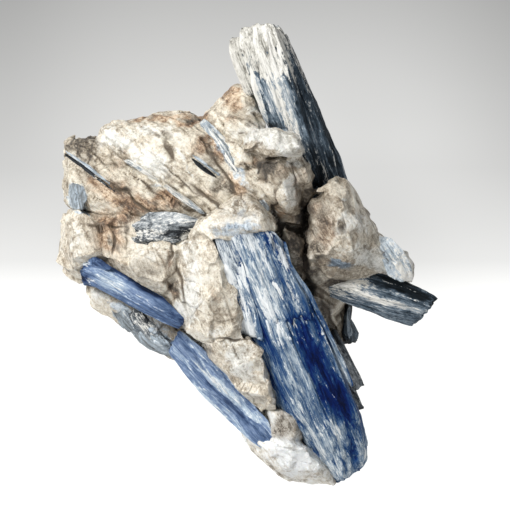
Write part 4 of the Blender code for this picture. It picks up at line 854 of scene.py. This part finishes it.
def along_grain(q):
    """q with its X turned to lie along the grain of the shelf."""
    return np.column_stack([*turned(q[:, 0], q[:, 1], SHELF_GRAIN), q[:, 2]])


def broken_quartz(name, seed, grains, broad, tilt, flatten, small, share, rough, voxel):
    """Fused grains, partly planed flat in broad tilted cells and then in small ones, and last
    roughened by hollows and noise, and by long splinters and cracks in the shelf."""
    obj = mesh_object(name, *joined([grain_surface(grain_corners(g)) for g in grains]))
    fused(obj, voxel)
    p, n = mesh_points(obj.data)
    calm = 1 - patches(p, CALM)
    cells = along_grain(warped(p, seed, size=4, amount=1.0)) / broad
    flat, facet, border = planed(p, n, cells, seed, tilt, sharp=30)
    set_points(obj.data, p + flat * flatten * calm[:, None])
    p, n = mesh_points(obj.data)
    cells = along_grain(warped(p, seed + 5, size=2, amount=0.5)) / small
    flat, chip, edge = planed(p, n, cells, seed + 1, tilt=0.24, sharp=12)
    set_points(obj.data, p + flat * share * calm[:, None])
    p, n = mesh_points(obj.data)
    slope, level = chips(along_grain(p) / (6.5, 1.0, 1.0), seed + 3, sharp=9)
    splintered = patches(p, SPLINTERED)
    cracked = patches(warped(p, seed + 8, size=3, amount=0.8), CRACKS)
    hollows = scoops(p / 1.5, seed + 4, sharp=14)
    noise = 0.35 * drift(p / 0.8, seed + 6) + 0.2 * drift(p / 3, seed + 7)
    move = rough * calm * (hollows + noise) + splintered * (0.30 * level + 0.24 * slope) - 0.5 * cracked
    set_points(obj.data, p + n * move[:, None])

    near = warped(warped(p, seed + 10, size=1.6, amount=1.0), seed + 20, size=5, amount=1.4)
    for key, rows in QUARTZ_PATCHES.items():
        set_field(obj.data, key, patches(near, rows))
    # Painted shade: how far the skin was pushed in, which the material reads to darken pits and cracks.
    set_field(obj.data, "hollow", np.clip(-move / 0.3, -1, 1))
    set_field(obj.data, "facet", 0.6 * facet + 0.4 * chip)
    seam = np.exp(-((border * broad[1] / 0.22) ** 2)) + 0.4 * np.exp(-((edge * small[1] / 0.2) ** 2))
    set_field(obj.data, "seam", np.maximum(seam, 2 * cracked))
    obj.data.shade_flat()
    return obj


# ---------------------------------------------------------------- blades


def relief(lay, seed, scale=1.0):
    """Height of the long narrow ledges on a blade, in mm, at lay = (across, out, along)."""
    tip, wide = chips(lay / (1.7 * scale, 1.7 * scale, 11) + seed * 3.7, seed, sharp=16)
    _, mid = chips(lay / (0.85, 0.85, 5) + seed * 1.3, seed + 1, sharp=10)
    _, thin = chips(lay / (0.5, 0.5, 2.4), seed + 2, sharp=6)
    return scale * (0.16 * wide + 0.25 * tip) + 0.12 * mid + 0.08 * thin


def swept(ring):
    """A grid of points (rings, columns, 3) that runs straight between neighbouring stations and
    between neighbouring points of each, and how far along the blade each ring is."""
    steps = np.linalg.norm(np.diff(ring.mean(1), axis=0), axis=1)
    marks = np.concatenate([[0], np.cumsum(steps)])
    s = np.linspace(0, marks[-1], max(10, int(marks[-1] / BLADE_ALONG)))
    at = np.clip(np.searchsorted(marks, s, side="right") - 1, 0, len(steps) - 1)
    share = ((s - marks[at]) / steps[at])[:, None, None]
    control = ring[at] * (1 - share) + ring[at + 1] * share
    following = np.roll(control, -1, axis=1)
    sides = np.linalg.norm(following - control, axis=2).mean(0)
    counts = np.maximum(2, np.ceil(sides / BLADE_ACROSS)).astype(int)
    which = np.repeat(np.arange(len(counts)), counts)
    step = np.concatenate([np.arange(c) / c for c in counts])[None, :, None]
    return control[:, which] * (1 - step) + following[:, which] * step, s


def closed_tube(grid, inner_first, inner_last):
    """Points, quads and triangles of rings (rings, columns, 3), closed by smaller and smaller rings
    at both ends and a middle point."""
    grid = np.concatenate([inner_first[::-1], grid, inner_last])
    count, around = grid.shape[:2]
    points = np.concatenate([grid.reshape(-1, 3), grid[0].mean(0)[None], grid[-1].mean(0)[None]])
    i, j = index_grid(count - 1, around)
    k = (j + 1) % around
    quads = np.column_stack([i * around + j, (i + 1) * around + j, (i + 1) * around + k, i * around + k])
    j = np.arange(around)
    k = (j + 1) % around
    last = (count - 1) * around
    first_fan = np.column_stack([np.full(around, count * around), j, k])
    last_fan = np.column_stack([np.full(around, count * around + 1), last + k, last + j])
    return points, quads, np.concatenate([first_fan, last_fan])


def slab(stations, thick, seed, ragged=(0.5, 0.5), rough=1.0):
    """A ridged crystal: a profile carried along a path.

    Each station has the ridge and edge points of the upper face, from left to right. The under
    side is the same points lowered by thick and drawn in to the middle. Ledges, rough times as high
    as usual, move the skin along its normals. At each end long fibres stand out by ragged mm, and
    the end face is rings drawn in to its middle. Returns points, quads, triangles, lay, which is
    (across, out, along) in mm for each point, and the height of the ledges.
    """
    top = np.array(stations, float)
    under = top * UNDER_SIZE + top.mean(1, keepdims=True) * (1 - UNDER_SIZE)
    under[:, :, 2] = top[:, :, 2] - np.broadcast_to(thick, len(top))[:, None]
    grid, s = swept(np.concatenate([top, under[:, ::-1]], axis=1))
    around = grid.shape[1]
    centre = grid.mean(1, keepdims=True)
    axis = unit(centre[-1, 0] - centre[0, 0])
    out = unit(np.array([0, 0, 1.0]) - axis * axis[2])
    across = np.cross(axis, out)
    offset = grid - centre
    lay = np.stack([offset @ across, offset @ out, np.broadcast_to(s[:, None], grid.shape[:2])], axis=2)
    normal = unit(np.cross(np.roll(grid, -1, axis=1) - np.roll(grid, 1, axis=1), np.gradient(grid, axis=0)))
    normal *= np.sign((normal * offset).sum(2).mean())
    from_end = np.minimum(s, s[-1] - s)[:, None]
    height = relief(lay.reshape(-1, 3), seed, rough).reshape(grid.shape[:2]) - 0.35 * np.exp(-from_end / 0.6)
    grid = grid + normal * height[:, :, None]
    ends = []
    for end, sign, amount in ((0, -1, ragged[0]), (-1, 1, ragged[1])):
        fibre = np.column_stack([lay[end, :, :2] / 1.4, np.full(around, seed + end * 5.0)])
        slope, level = chips(fibre, seed + 5 + end, sharp=6)
        reach = np.exp(-np.abs(s - s[end]) / 2.5)[:, None]
        grid = grid + axis * (sign * amount * (level + slope)[None, :] * reach)[:, :, None]
        middle = grid[end].mean(0)
        inner = middle + (grid[end] - middle)[None] * END_RINGS[:, None, None]
        flat = np.stack([*(lay[end, :, a] * END_RINGS[:, None] for a in (0, 1)),
                         np.full((len(END_RINGS), around), seed)], 2)  # fmt: skip
        _, level = chips(flat.reshape(-1, 3) / 0.9, seed + 7, sharp=8)
        push = 0.4 * amount * level.reshape(len(END_RINGS), -1) - 0.15 * sign
        ends.append(inner + axis * push[:, :, None])
    points, quads, fans = closed_tube(grid, *ends)
    d = points - centre.mean(0)[0]
    ledge = np.zeros(len(points))
    inner_points = len(END_RINGS) * around
    ledge[inner_points : -inner_points - 2] = height.ravel()
    return points, quads, fans, np.column_stack([d @ across, d @ out, d @ axis]), ledge


def straight_blade(start, end, facing, width, thick, seed):
    """A slab with a flat-topped six-sided profile, for blades that are plain or mostly hidden."""
    start, end, facing = (np.array(v, float) for v in (start, end, facing))
    along = (end - start) / np.linalg.norm(end - start)
    out = unit(facing - along * (facing @ along))
    across = np.cross(along, out) * width / 2
    up = out * thick / 2
    profile = [-across + up * 0.55, -across * 0.8 + up, across * 0.75 + up, across + up * 0.5]
    stations = [[place + point for point in profile] for place in (start, (start + end) / 2, end)]
    return slab(stations, thick * 0.9, seed)


def straight(rows, seed):
    """The straight blades of a table, each with a seed of its own."""
    return [straight_blade(*row, seed + 10 * number) for number, row in enumerate(rows)]


def crystal_chunk(corners, seed, along):
    """A broken piece of crystal: a convex grid, with small ledges moving it out from its middle."""
    points, faces = grain_surface(corners, spacing=0.4)
    direction = unit(points - points.mean(0))
    along = unit(np.array(along, float))
    side = unit(np.cross(along, (0, 0, 1)))
    lay = np.column_stack([points @ side, points @ np.cross(side, along), points @ along])
    _, broad = chips(lay / (2.6, 2.6, 6), seed + 3, sharp=9)
    height = relief(lay / (1, 1, 0.6), seed) + 0.3 * broad - 0.1
    return points + direction * height[:, None], faces, np.empty((0, 3), int), lay, height


def crystal_object(name, parts, tone, tones, creams, seed):
    """One object from several slabs or chunks, each a closed skin of its own. tone is how light it
    is before the patches are added; their borders are frayed along the blade."""
    points, quads, triangles, lays, ledges, frayed, base = [], [], [], [], [], [], 0
    for number, (p, q, t, lay, ledge) in enumerate(parts):
        a, b, c, d = (p[q[:, i]] for i in range(4))
        volume = (a * np.cross(b, c)).sum() + (a * np.cross(c, d)).sum()
        if volume < 0:
            q, t = q[:, ::-1], t[:, ::-1]
        points.append(p)
        quads.append(q + base)
        triangles.append(t + base)
        lays.append(lay + (number * 13.7, 0, number * 29.3))
        ledges.append(ledge)
        axis = np.linalg.lstsq(np.column_stack([lay, np.ones(len(p))]), p, rcond=None)[0][2]
        slide = drift(lay / (0.9, 0.9, 14), seed + 30) + drift(lay / (0.35, 0.35, 6), seed + 31)
        frayed.append(p + axis * (0.07 * np.ptp(lay[:, 2]) ** 0.8 * slide)[:, None])
        base += len(p)
    points, quads, triangles, frayed = (np.concatenate(v) for v in (points, quads, triangles, frayed))
    flat = np.concatenate([quads.ravel(), triangles.ravel()])
    obj = mesh_object(name, points, flat, np.repeat([4, 3], [len(quads), len(triangles)]))
    near = warped(frayed, seed, size=1.2, amount=0.45)
    set_field(obj.data, "lay", np.concatenate(lays) + seed * 7.0)
    set_field(obj.data, "tone", tone + patches(near, tones) + patches(near, tones, np.minimum))
    set_field(obj.data, "cream", patches(near, creams))
    # The ledges' height, which the material paints as highlight on the raised ones and shade in the gaps.
    set_field(obj.data, "ledge", np.concatenate(ledges))
    obj.data.shade_flat()
    return obj


def paint_crevice_shade(objects, step=0.5, half=70.0, blur=2.5, deep=6.0):
    """A field of painted shade on every piece: how far a point lies below the height about it, from 0
    to 1 at deep; the materials darken crevices by it. The height is the highest point in each square
    of step mm, blurred over blur mm. A point well below the highest one in its own square is on a side
    or underneath, and gets nothing."""
    side = int(2 * half / step)
    top = np.zeros((side, side))
    places = []
    for obj in objects:
        p, _ = mesh_points(obj.data)
        column, row = np.clip(((p[:, :2] + half) / step).astype(int), 0, side - 1).T
        np.maximum.at(top, (column, row), p[:, 2])
        places.append((obj, p[:, 2], column, row))
    shifts = range(-15, 16)
    weight = np.exp(-0.5 * (np.array(shifts) * step / blur) ** 2)
    weight /= weight.sum()
    height = top
    for axis in (0, 1):
        height = sum(w * np.roll(height, shift, axis) for w, shift in zip(weight, shifts))
    for obj, z, column, row in places:
        seen = np.clip((4 - top[column, row] + z) / 2.5, 0, 1)
        set_field(obj.data, "crevice_shade", seen * np.clip((height[column, row] - z) / deep, 0, 1))


# ---------------------------------------------------------------- materials

# In the sums each noise or field comes with its weight. A step says where a colour starts and where
# it is full.


class Graph:
    """A short way to write a material's nodes."""

    def __init__(self, name):
        self.material = bpy.data.materials.new(name)
        self.material.use_nodes = True
        self.tree = self.material.node_tree
        self.shader = self.tree.nodes["Principled BSDF"]

    def plug(self, socket, value):
        """Links an output to a socket, or sets the socket to a plain value."""
        if hasattr(value, "is_output"):
            self.tree.links.new(value, socket)
        else:
            socket.default_value = value

    def add(self, kind, values=(), out=0, **settings):
        node = self.tree.nodes.new(kind)
        for key, value in settings.items():
            setattr(node, key, value)
        for place, value in dict(values).items():
            self.plug(node.inputs[place], value)
        return node.outputs[out]

    def field(self, name, vector=False):
        return self.add("ShaderNodeAttribute", out=1 if vector else 2, attribute_name=name)

    def place(self):
        """Object coordinates in mm."""
        return self.scaled(self.add("ShaderNodeTexCoord", out=3), (1 / MM,) * 3)

    def scaled(self, vector, scale):
        return self.add("ShaderNodeVectorMath", {0: vector, 1: scale}, operation="MULTIPLY")

    def noise(self, vector, scale, detail, rough, warp=0.0):
        values = {"Scale": 1.0, "Detail": detail, "Roughness": rough, "Distortion": warp}
        return self.add("ShaderNodeTexNoise", {"Vector": self.scaled(vector, scale), **values})

    def plates(self, vector, scale):
        """A random number for each cell of a cell pattern, and how far inside its border it is."""
        values = {"Vector": self.scaled(vector, scale), "Scale": 1.0}
        cell = self.add("ShaderNodeTexVoronoi", values, out=1)
        edge = self.add("ShaderNodeTexVoronoi", values, feature="DISTANCE_TO_EDGE")
        return self.add("ShaderNodeSeparateXYZ", {0: cell}), edge

    def math(self, operation, a, b=0.0):
        return self.add("ShaderNodeMath", {0: a, 1: b}, operation=operation)

    def times(self, a, b):
        return self.math("MULTIPLY", a, b)

    def less(self, value):
        """1 less value."""
        return self.math("SUBTRACT", 1.0, value)

    def sum(self, *terms):
        """Adds sockets, numbers, and (socket, factor) pairs."""
        terms = [self.times(*term) if isinstance(term, tuple) else term for term in terms]
        total = terms[0]
        for term in terms[1:]:
            total = self.math("ADD", total, term)
        return total

    def step(self, value, low, high):
        """0 below low, 1 above high, eased between."""
        values = {"Value": value, "From Min": low, "From Max": high}
        return self.add("ShaderNodeMapRange", values, interpolation_type="SMOOTHSTEP")

    def ramp(self, value, stops):
        """The colour at value, from stops of position, red, green and blue."""
        colour = self.add("ShaderNodeValToRGB", {0: value})
        elements = colour.node.color_ramp.elements
        while len(elements) < len(stops):
            elements.new(0.5)
        for element, (position, *rgb) in zip(elements, stops):
            element.position = position
            element.color = (*rgb, 1)
        return colour

    def mix(self, share, a, b, blend="MIX"):
        a, b = (c if hasattr(c, "is_output") else (*c, 1) for c in (a, b))
        return self.add("ShaderNodeMix", {0: share, 6: a, 7: b}, out=2, data_type="RGBA", blend_type=blend)

    def bump(self, height, distance, strength):
        return self.add("ShaderNodeBump", {"Height": height, "Distance": distance, "Strength": strength})

    def set(self, **values):
        for key, value in values.items():
            self.plug(self.shader.inputs[key.replace("_", " ")], value)


# Colours from dark to light: position, red, green, blue.
HONEY = [
    (0, 0.13, 0.1, 0.07), (0.22, 0.32, 0.265, 0.195), (0.45, 0.53, 0.465, 0.37), (0.65, 0.7, 0.635, 0.52),
    (0.84, 0.83, 0.78, 0.67), (1, 0.9, 0.87, 0.79),
]  # fmt: skip
MILKY = [(0, 0.36, 0.34, 0.29), (0.45, 0.62, 0.6, 0.54), (1, 0.87, 0.855, 0.8)]
TAWNY = [(0, 0.06, 0.035, 0.02), (0.3, 0.22, 0.135, 0.08), (0.6, 0.44, 0.305, 0.195), (1, 0.8, 0.66, 0.5)]
BLUE_GREY = [(0, 0.08, 0.11, 0.14), (0.5, 0.34, 0.41, 0.48), (1, 0.72, 0.77, 0.8)]
SMOKY_AND_SHADE = [(0, 0.01, 0.008, 0.006), (0.45, 0.07, 0.055, 0.04), (0.75, 0.22, 0.18, 0.13), (1, 0.5, 0.45, 0.37)]
CREAM = [(0, 0.2, 0.19, 0.16), (0.45, 0.62, 0.6, 0.54), (1, 0.87, 0.85, 0.79)]
FROST = [(0, 0.15, 0.18, 0.21), (0.45, 0.55, 0.6, 0.64), (1, 0.87, 0.89, 0.89)]
BLUE = [
    (0, 0.003, 0.006, 0.03), (0.18, 0.003, 0.017, 0.12), (0.36, 0.02, 0.07, 0.19), (0.5, 0.1, 0.16, 0.255),
    (0.66, 0.27, 0.345, 0.43), (0.82, 0.54, 0.6, 0.64), (1, 0.86, 0.87, 0.86),
]  # fmt: skip
SLATE = [
    (0, 0.003, 0.005, 0.006), (0.2, 0.014, 0.02, 0.026), (0.38, 0.052, 0.074, 0.098), (0.54, 0.145, 0.19, 0.235),
    (0.7, 0.31, 0.365, 0.415), (0.86, 0.58, 0.61, 0.62), (1, 0.84, 0.84, 0.8),
]  # fmt: skip
STEEL = [
    (0, 0.006, 0.012, 0.03), (0.2, 0.025, 0.045, 0.11), (0.4, 0.09, 0.145, 0.262), (0.6, 0.212, 0.29, 0.445),
    (0.8, 0.46, 0.56, 0.66), (1, 0.84, 0.87, 0.88),
]  # fmt: skip
ASH = [
    (0, 0.006, 0.006, 0.007), (0.25, 0.045, 0.05, 0.055), (0.45, 0.15, 0.165, 0.175), (0.65, 0.36, 0.385, 0.4),
    (0.85, 0.66, 0.67, 0.66), (1, 0.86, 0.86, 0.83),
]  # fmt: skip
PALE = [
    (0, 0.05, 0.05, 0.05), (0.3, 0.22, 0.24, 0.25), (0.55, 0.4, 0.465, 0.52), (0.8, 0.65, 0.71, 0.75),
    (1, 0.88, 0.88, 0.85),
]  # fmt: skip


def quartz_material(name, turn, pale, tint):
    """Cream quartz with milk-white, tawny, smoky and blue-grey parts, dark seams between its broken
    faces, and streaks at turn degrees. The smoky parts are partly painted shade in crevices, and pits
    and crevices are darkened as painted shade. pale makes it lighter, and tint multiplies its colour."""
    g = Graph(name)
    mm = g.place()
    stain, smoke_and_shade, milk, blush = (g.field(n) for n in ("stain", "smoke_and_shade", "milk", "blush"))
    hollow, crevice_shade, facet, seam = (g.field(n) for n in ("hollow", "crevice_shade", "facet", "seam"))
    streaked = {"Vector": mm, "Angle": np.radians(-turn)}
    streaked = g.add("ShaderNodeVectorRotate", streaked, rotation_type="Z_AXIS")
    cloud = g.noise(mm, (0.16, 0.16, 0.16), 6, 0.62, 0.6)
    mottle = g.noise(mm, (0.55, 0.55, 0.55), 6, 0.68, 1.0)
    grit = g.noise(mm, (2.2, 2.2, 2.2), 5, 0.75, 0.5)
    streak = g.noise(streaked, (0.16, 1.3, 0.9), 6, 0.72, 0.7)
    fine = g.sum((cloud, 0.9), (mottle, 0.9), (streak, 0.8), (grit, 0.9), (facet, 0.3), (seam, -0.12),
                 pale - 1.89)  # fmt: skip
    base = g.ramp(g.step(fine, -0.5, 0.42), HONEY)
    for amount, low, high, dark, light, stops in (
        (g.sum(milk, mottle, (streak, 0.5)), 0.95, 1.35, -0.45, 0.2, MILKY),
        (g.sum(stain, (cloud, 0.7), (mottle, 0.8)), 0.92, 1.42, -0.35, 0.35, TAWNY),
        (g.sum(blush, (mottle, 0.9)), 0.85, 1.2, -0.35, 0.3, BLUE_GREY),
        # Smoky quartz, partly painted shade in crevices.
        (g.sum(smoke_and_shade, (cloud, 0.7), (mottle, 0.8)), 1.0, 1.5, -0.35, 0.35, SMOKY_AND_SHADE),
    ):
        base = g.mix(g.step(amount, low, high), base, g.ramp(g.step(fine, dark, light), stops))
    # Grime and painted shade: grit, mottling and seams darken the quartz's own grain, and pits and crevices add
    # painted shade.
    grime_and_shade = g.step(g.sum((hollow, 0.5), (grit, 0.6), (mottle, 0.6), (seam, 0.5), (crevice_shade, 0.95)), 0.95, 1.8)
    base = g.mix(g.times(grime_and_shade, 0.85), base, (0.09, 0.065, 0.04))
    # Painted shade: the deepest crevices go almost black.
    base = g.mix(g.times(g.step(crevice_shade, 0.6, 1.1), 0.6), base, (0.022, 0.020, 0.014))
    base = g.mix(1.0, base, tint, "MULTIPLY")
    g.set(Base_Color=base, Roughness=g.sum(0.22, (grit, 0.4)))
    g.set(Normal=g.bump(g.sum((grit, 0.6), (streak, 0.9), (mottle, 0.5)), 0.6 * MM, strength=0.7), IOR=1.54)
    g.set(Subsurface_Weight=0.10, Subsurface_Radius=(0.9, 0.7, 0.5), Subsurface_Scale=MM)
    return g.material


def kyanite_material(name, stops, gloss=0.4, speckle=0.7, contrast=1.0, skin=CREAM):
    """Streaks, threads and specks run along the blade. tone is how light it is, and cream is a skin
    of quartz that the threads and specks break up. Raised ledges are painted lighter and the gaps
    between them darker, a painted highlight and shade, and crevices are darkened as painted shade.
    gloss is the least roughness, speckle how much the specks show, and contrast how far the streaks
    are from the plain tone."""
    g = Graph(name)
    lay = g.field("lay", True)
    tone, cream, crevice_shade, ledge = (g.field(n) for n in ("tone", "cream", "crevice_shade", "ledge"))
    streak = g.noise(lay, (1.5, 1.5, 0.15), 5, 0.65, 0.5)
    thread = g.noise(lay, (2.5, 2.5, 0.3), 4, 0.65, 0.5)
    fleck = g.noise(lay, (1.3, 1.3, 0.7), 5, 0.75, 0.8)
    bent = g.add("ShaderNodeVectorMath", {0: lay, 1: g.noise(lay, (0.5, 0.5, 0.12), 3, 0.6)}, operation="ADD")
    plate, border = g.plates(bent, (0.42, 0.42, 0.035))
    line = g.times(g.less(g.step(border, 0.0, 0.09)), g.step(fleck, 0.42, 0.6))
    # Painted highlight and shade: raised ledges come out lighter and creamier, the gaps between them darker.
    fine = g.sum((plate, 0.46), (streak, 0.8), (thread, 1.2), (fleck, speckle), (ledge, 0.5),
                 -1.24 - 0.5 * speckle)  # fmt: skip
    vivid = g.times(g.sum(0.25, tone), contrast)
    # Painted shade: crevices darken the tone.
    base = g.ramp(g.sum(tone, (fine, vivid), (line, 0.16), (crevice_shade, -0.35)), stops)
    film = g.sum(cream, (streak, 0.7), (fleck, 0.5 + speckle), (thread, 1.1), (ledge, 0.3), (line, 0.3),
                 (plate, 0.4), -1.38 - 0.5 * speckle)  # fmt: skip
    base = g.mix(g.step(film, 0.40, 0.70), base, g.ramp(g.step(fine, -0.5, 0.25), skin))
    # Painted shade: the deepest crevices go almost black.
    base = g.mix(g.times(g.step(crevice_shade, 0.35, 0.9), 0.6), base, (0.02, 0.02, 0.02))
    g.set(Base_Color=base, Roughness=g.sum(gloss, (thread, 0.2), (cream, 0.2)), IOR=1.7, Specular_IOR_Level=0.05)
    g.set(Normal=g.bump(g.sum((streak, 0.9), (thread, 0.9), (fleck, 0.4)), 0.7 * MM, strength=0.8))
    return g.material


def floor_material():
    """A pale floor that turns from soft grey at the back to white at the front, mostly by its own
    light, a painted glow, so that only a faint shadow lies on it. The glow is a little brighter in the
    middle, a painted pool of light."""
    g = Graph("pale_floor")
    spot = g.add("ShaderNodeTexCoord", out=3)
    x, y = (g.add("ShaderNodeSeparateXYZ", {0: spot}, out=n) for n in (0, 1))
    aside = g.math("SUBTRACT", x, 0.0044)
    middle = g.less(g.step(g.times(aside, aside), 0.0, 0.005))
    share = g.add("ShaderNodeMapRange", {"Value": y, "From Min": -0.03, "From Max": 0.065})
    greys = [(0.0, 1.0), (0.19, 0.97), (0.30, 0.71), (0.43, 0.61), (0.55, 0.515), (0.75, 0.44), (1.0, 0.33)]
    shade = g.ramp(share, [(at, v, v, v * 0.985) for at, v in greys])
    g.set(Base_Color=g.mix(1.0, shade, (0.08, 0.08, 0.08), "MULTIPLY"), Roughness=0.9)
    glow = g.times(middle, g.step(share, 0.36, 0.66))
    g.set(Emission_Color=shade, Emission_Strength=g.sum(1.07, (glow, 0.38)))
    return g.material


# ---------------------------------------------------------------- assembly


def dress(obj, material, slot, node):
    """Gives a piece its material, sets it on the specimen and hides the solid it stands for."""
    obj.data.materials.clear()
    obj.data.materials.append(material)
    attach(obj, "root")
    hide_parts(node)


def quartz_pieces():
    """The quartz: (object, material, slot, node) of each piece."""
    materials = {name: quartz_material("broken_" + name, *look) for name, look in QUARTZ_LOOKS.items()}
    return [
        (broken_quartz(name, 100 * (number + 1), **row), materials[name], "quartz", "quartz_matrix")
        for number, (name, row) in enumerate(QUARTZ_PIECES.items())
    ]


def blade_rows():
    """The blades: name of each piece, the node it stands for, its look, how light it is, its patches
    of tone and of cream, and the skins it is made of. A look is a material and its slot."""
    blue = kyanite_material("kyanite_blue", BLUE, skin=FROST), "kyanite_blue"
    steel = kyanite_material("kyanite_steel_blue", STEEL, gloss=0.35, contrast=0.8, skin=FROST), "kyanite_blue"
    slate = kyanite_material("kyanite_slate", SLATE, speckle=1.0), "kyanite_slate"
    ash = kyanite_material("kyanite_ash", ASH, gloss=0.45, speckle=1.5), "kyanite_slate"
    pale = kyanite_material("kyanite_pale", PALE, speckle=1.1), "kyanite_pale"
    body = [
        slab(BUNDLE_BODY, [14, 14, 13, 12, 11, 9, 7, 5, 3], 40, ragged=(0.4, 0.6), rough=1.4),
        *straight(UNDER_BUNDLE, 1),
    ]
    plates = [
        slab(PALE_COVER, [2, 2, 2, 1.6], 41, ragged=(0.2, 1.6), rough=1.5),
        slab(LOWER_COVER, [2, 2, 2, 2, 2, 1.8, 1.2], 42, ragged=(1.2, 0.5), rough=1.4),
        slab(RIGHT_RIM, 1.6, 43, ragged=(0.3, 0.6), rough=0.4),
        slab(LEFT_FACET, 2, 44, ragged=(0.8, 0.8), rough=1.3),
    ]
    upper = [
        slab(UPPER_FRONT, [6, 8, 9, 10, 10, 10, 9, 8], 50, ragged=(0.7, 0.3), rough=1.1),
        slab(UPPER_STRIP, 4, 51, ragged=(0.5, 0.4), rough=0.6),
        *straight(UNDER_UPPER, 52),
    ]
    right = slab(RIGHT_FRONT, [6, 7, 6, 5], 53, ragged=(0.3, 0.7), rough=1.1)
    upper_left = slab(UPPER_LEFT, 2.6, 54, ragged=(0.6, 0.5), rough=0.5)
    lower_left = slab(LOWER_LEFT, [3, 3.4, 3.4, 3, 2.6, 1.6], 55, ragged=(0.6, 0.3), rough=0.5)
    pale_needles = [slab(t, 1.8, 58 + n) for n, t in enumerate(PALE_NEEDLES)]
    dark_sliver_and_shadow = [slab(t, 2, 59 + n, ragged=(0.3, 0.3), rough=0.3) for n, t in enumerate(DARK_SLIVER_AND_SHADOW)]
    small = {
        name: crystal_chunk(corners, 80 + 7 * number, along)
        for number, (name, (corners, along)) in enumerate(SMALL_CRYSTALS.items())
    }
    return [
        ("bundle_body", "main_blade_bundle", blue, 0.66, BUNDLE_TONE, BUNDLE_CREAM, body),
        ("bundle_plates", "main_blade_bundle", blue, 0.66, BUNDLE_TONE, BUNDLE_CREAM, plates),
        ("bundle_flakes", "main_blade_bundle", ash, 0.50, [], [], straight(SIDE_FLAKES, 25)),
        ("upper_crystal", "upper_blade", slate, 0.66, UPPER_TONE_AND_REFLECTION, UPPER_CREAM, upper),
        ("right_crystal", "right_blade", slate, 0.62, RIGHT_TONE_AND_REFLECTION, RIGHT_CREAM, [right]),
        ("upper_left_crystal", "upper_left_blade", steel, 0.43, A_TONE, A_CREAM,
         [upper_left, small["dark_end"], small["dark_hook"]]),
        ("lower_left_crystal", "lower_left_blade", steel, 0.64, B_TONE, B_CREAM, [lower_left]),
        ("grey_crystal", "grey_blade", ash, 0.53, GREY_TONE, GREY_CREAM,
         [crystal_chunk(GREY_CRYSTAL, 56, (1, 0.1, 0))]),
        ("shelf_crystal", "shelf_blade", pale, 0.58, SHELF_TONE, [(-4, 24, 16, 8, -50, 0.6)],
         [slab(SHELF_STREAK, 3, 57, ragged=(0.6, 0.6), rough=1.4)]),
        ("shelf_pale_needle", "shelf_needle", pale, 0.66, SHELF_TONE, [(-20, 17, 14, 4, -30, 0.8)], pale_needles),
        # The second strip in this piece is the painted shadow beside the needle at the edge.
        ("shelf_dark_sliver_and_shadow", "dark_needle", ash, 0.14, [], [], dark_sliver_and_shadow),
        ("edge_crystal", "edge_blade", pale, 0.56, [], [(-43, 14, 9, 3, 90, 0.25)], [small["edge"]]),
        ("shoulder_crystal", "shoulder_blade", pale, 0.92, [(36, 1, 4, 3, -50, -0.3)],
         [(38, -3, 6, 4, -50, 0.6)], [small["shoulder"]]),
        ("knob_crystal", "knob_blade", slate, 0.43, [], [], [slab(KNOB, 5, 60, ragged=(0.2, 0.2), rough=0.4)]),
        ("low_dark_crystal", "low_dark_blade", ash, 0.42, [], [(-26, -17, 4, 2, -40, 0.5)], [small["low_dark"]]),
        ("low_pale_crystal", "low_pale_blade", pale, 0.54, [], [(-31, -16, 4, 3, -50, 0.5)],
         [small["low_pale"], small["low_grey"]]),
    ]  # fmt: skip


def main():
    pieces = quartz_pieces()
    for number, (name, node, look, tone, tones, creams, parts) in enumerate(blade_rows()):
        pieces.append((crystal_object(name, parts, tone, tones, creams, 300 + 10 * number), *look, node))
    # Painted shade: every piece gets a field that darkens it in crevices.
    paint_crevice_shade([piece[0] for piece in pieces])
    for piece in pieces:
        dress(*piece)


def studio():
    """A straight-down camera, a soft key from the upper left, a low fill, and the floor."""
    scene = bpy.context.scene
    scene.view_settings.view_transform = "Standard"
    camera = bpy.data.objects.new("camera", bpy.data.cameras.new("camera"))
    camera.data.lens = 300
    camera.data.sensor_width = 36
    camera.data.clip_start = 0.05
    camera.location = (0.00175, 0, 1.0845)
    scene.collection.objects.link(camera)
    scene.camera = camera
    for name, place, size, watts in (
        ("key", (-0.46, 0.36, 0.60), 0.30, 8.5),
        ("fill", (0.10, -0.60, 0.55), 0.60, 1.6),
    ):
        light = bpy.data.lights.new(name, "AREA")
        light.size = size
        light.energy = watts
        obj = bpy.data.objects.new(name, light)
        obj.location = place
        obj.rotation_euler = (-obj.location).to_track_quat("-Z", "Y").to_euler()
        scene.collection.objects.link(obj)
    world = bpy.data.worlds.new("soft_room")
    world.use_nodes = True
    background = world.node_tree.nodes["Background"]
    background.inputs[0].default_value = (0.95, 0.97, 1.0, 1)
    background.inputs[1].default_value = 0.36
    scene.world = world
    half, level = 1200.0, -0.05  # mm
    corners = [(-half, -half, level), (half, -half, level), (half, half, level), (-half, half, level)]
    floor = mesh_object("floor", corners, [(0, 1, 2, 3)])
    floor.data.materials.append(floor_material())


main()
studio()
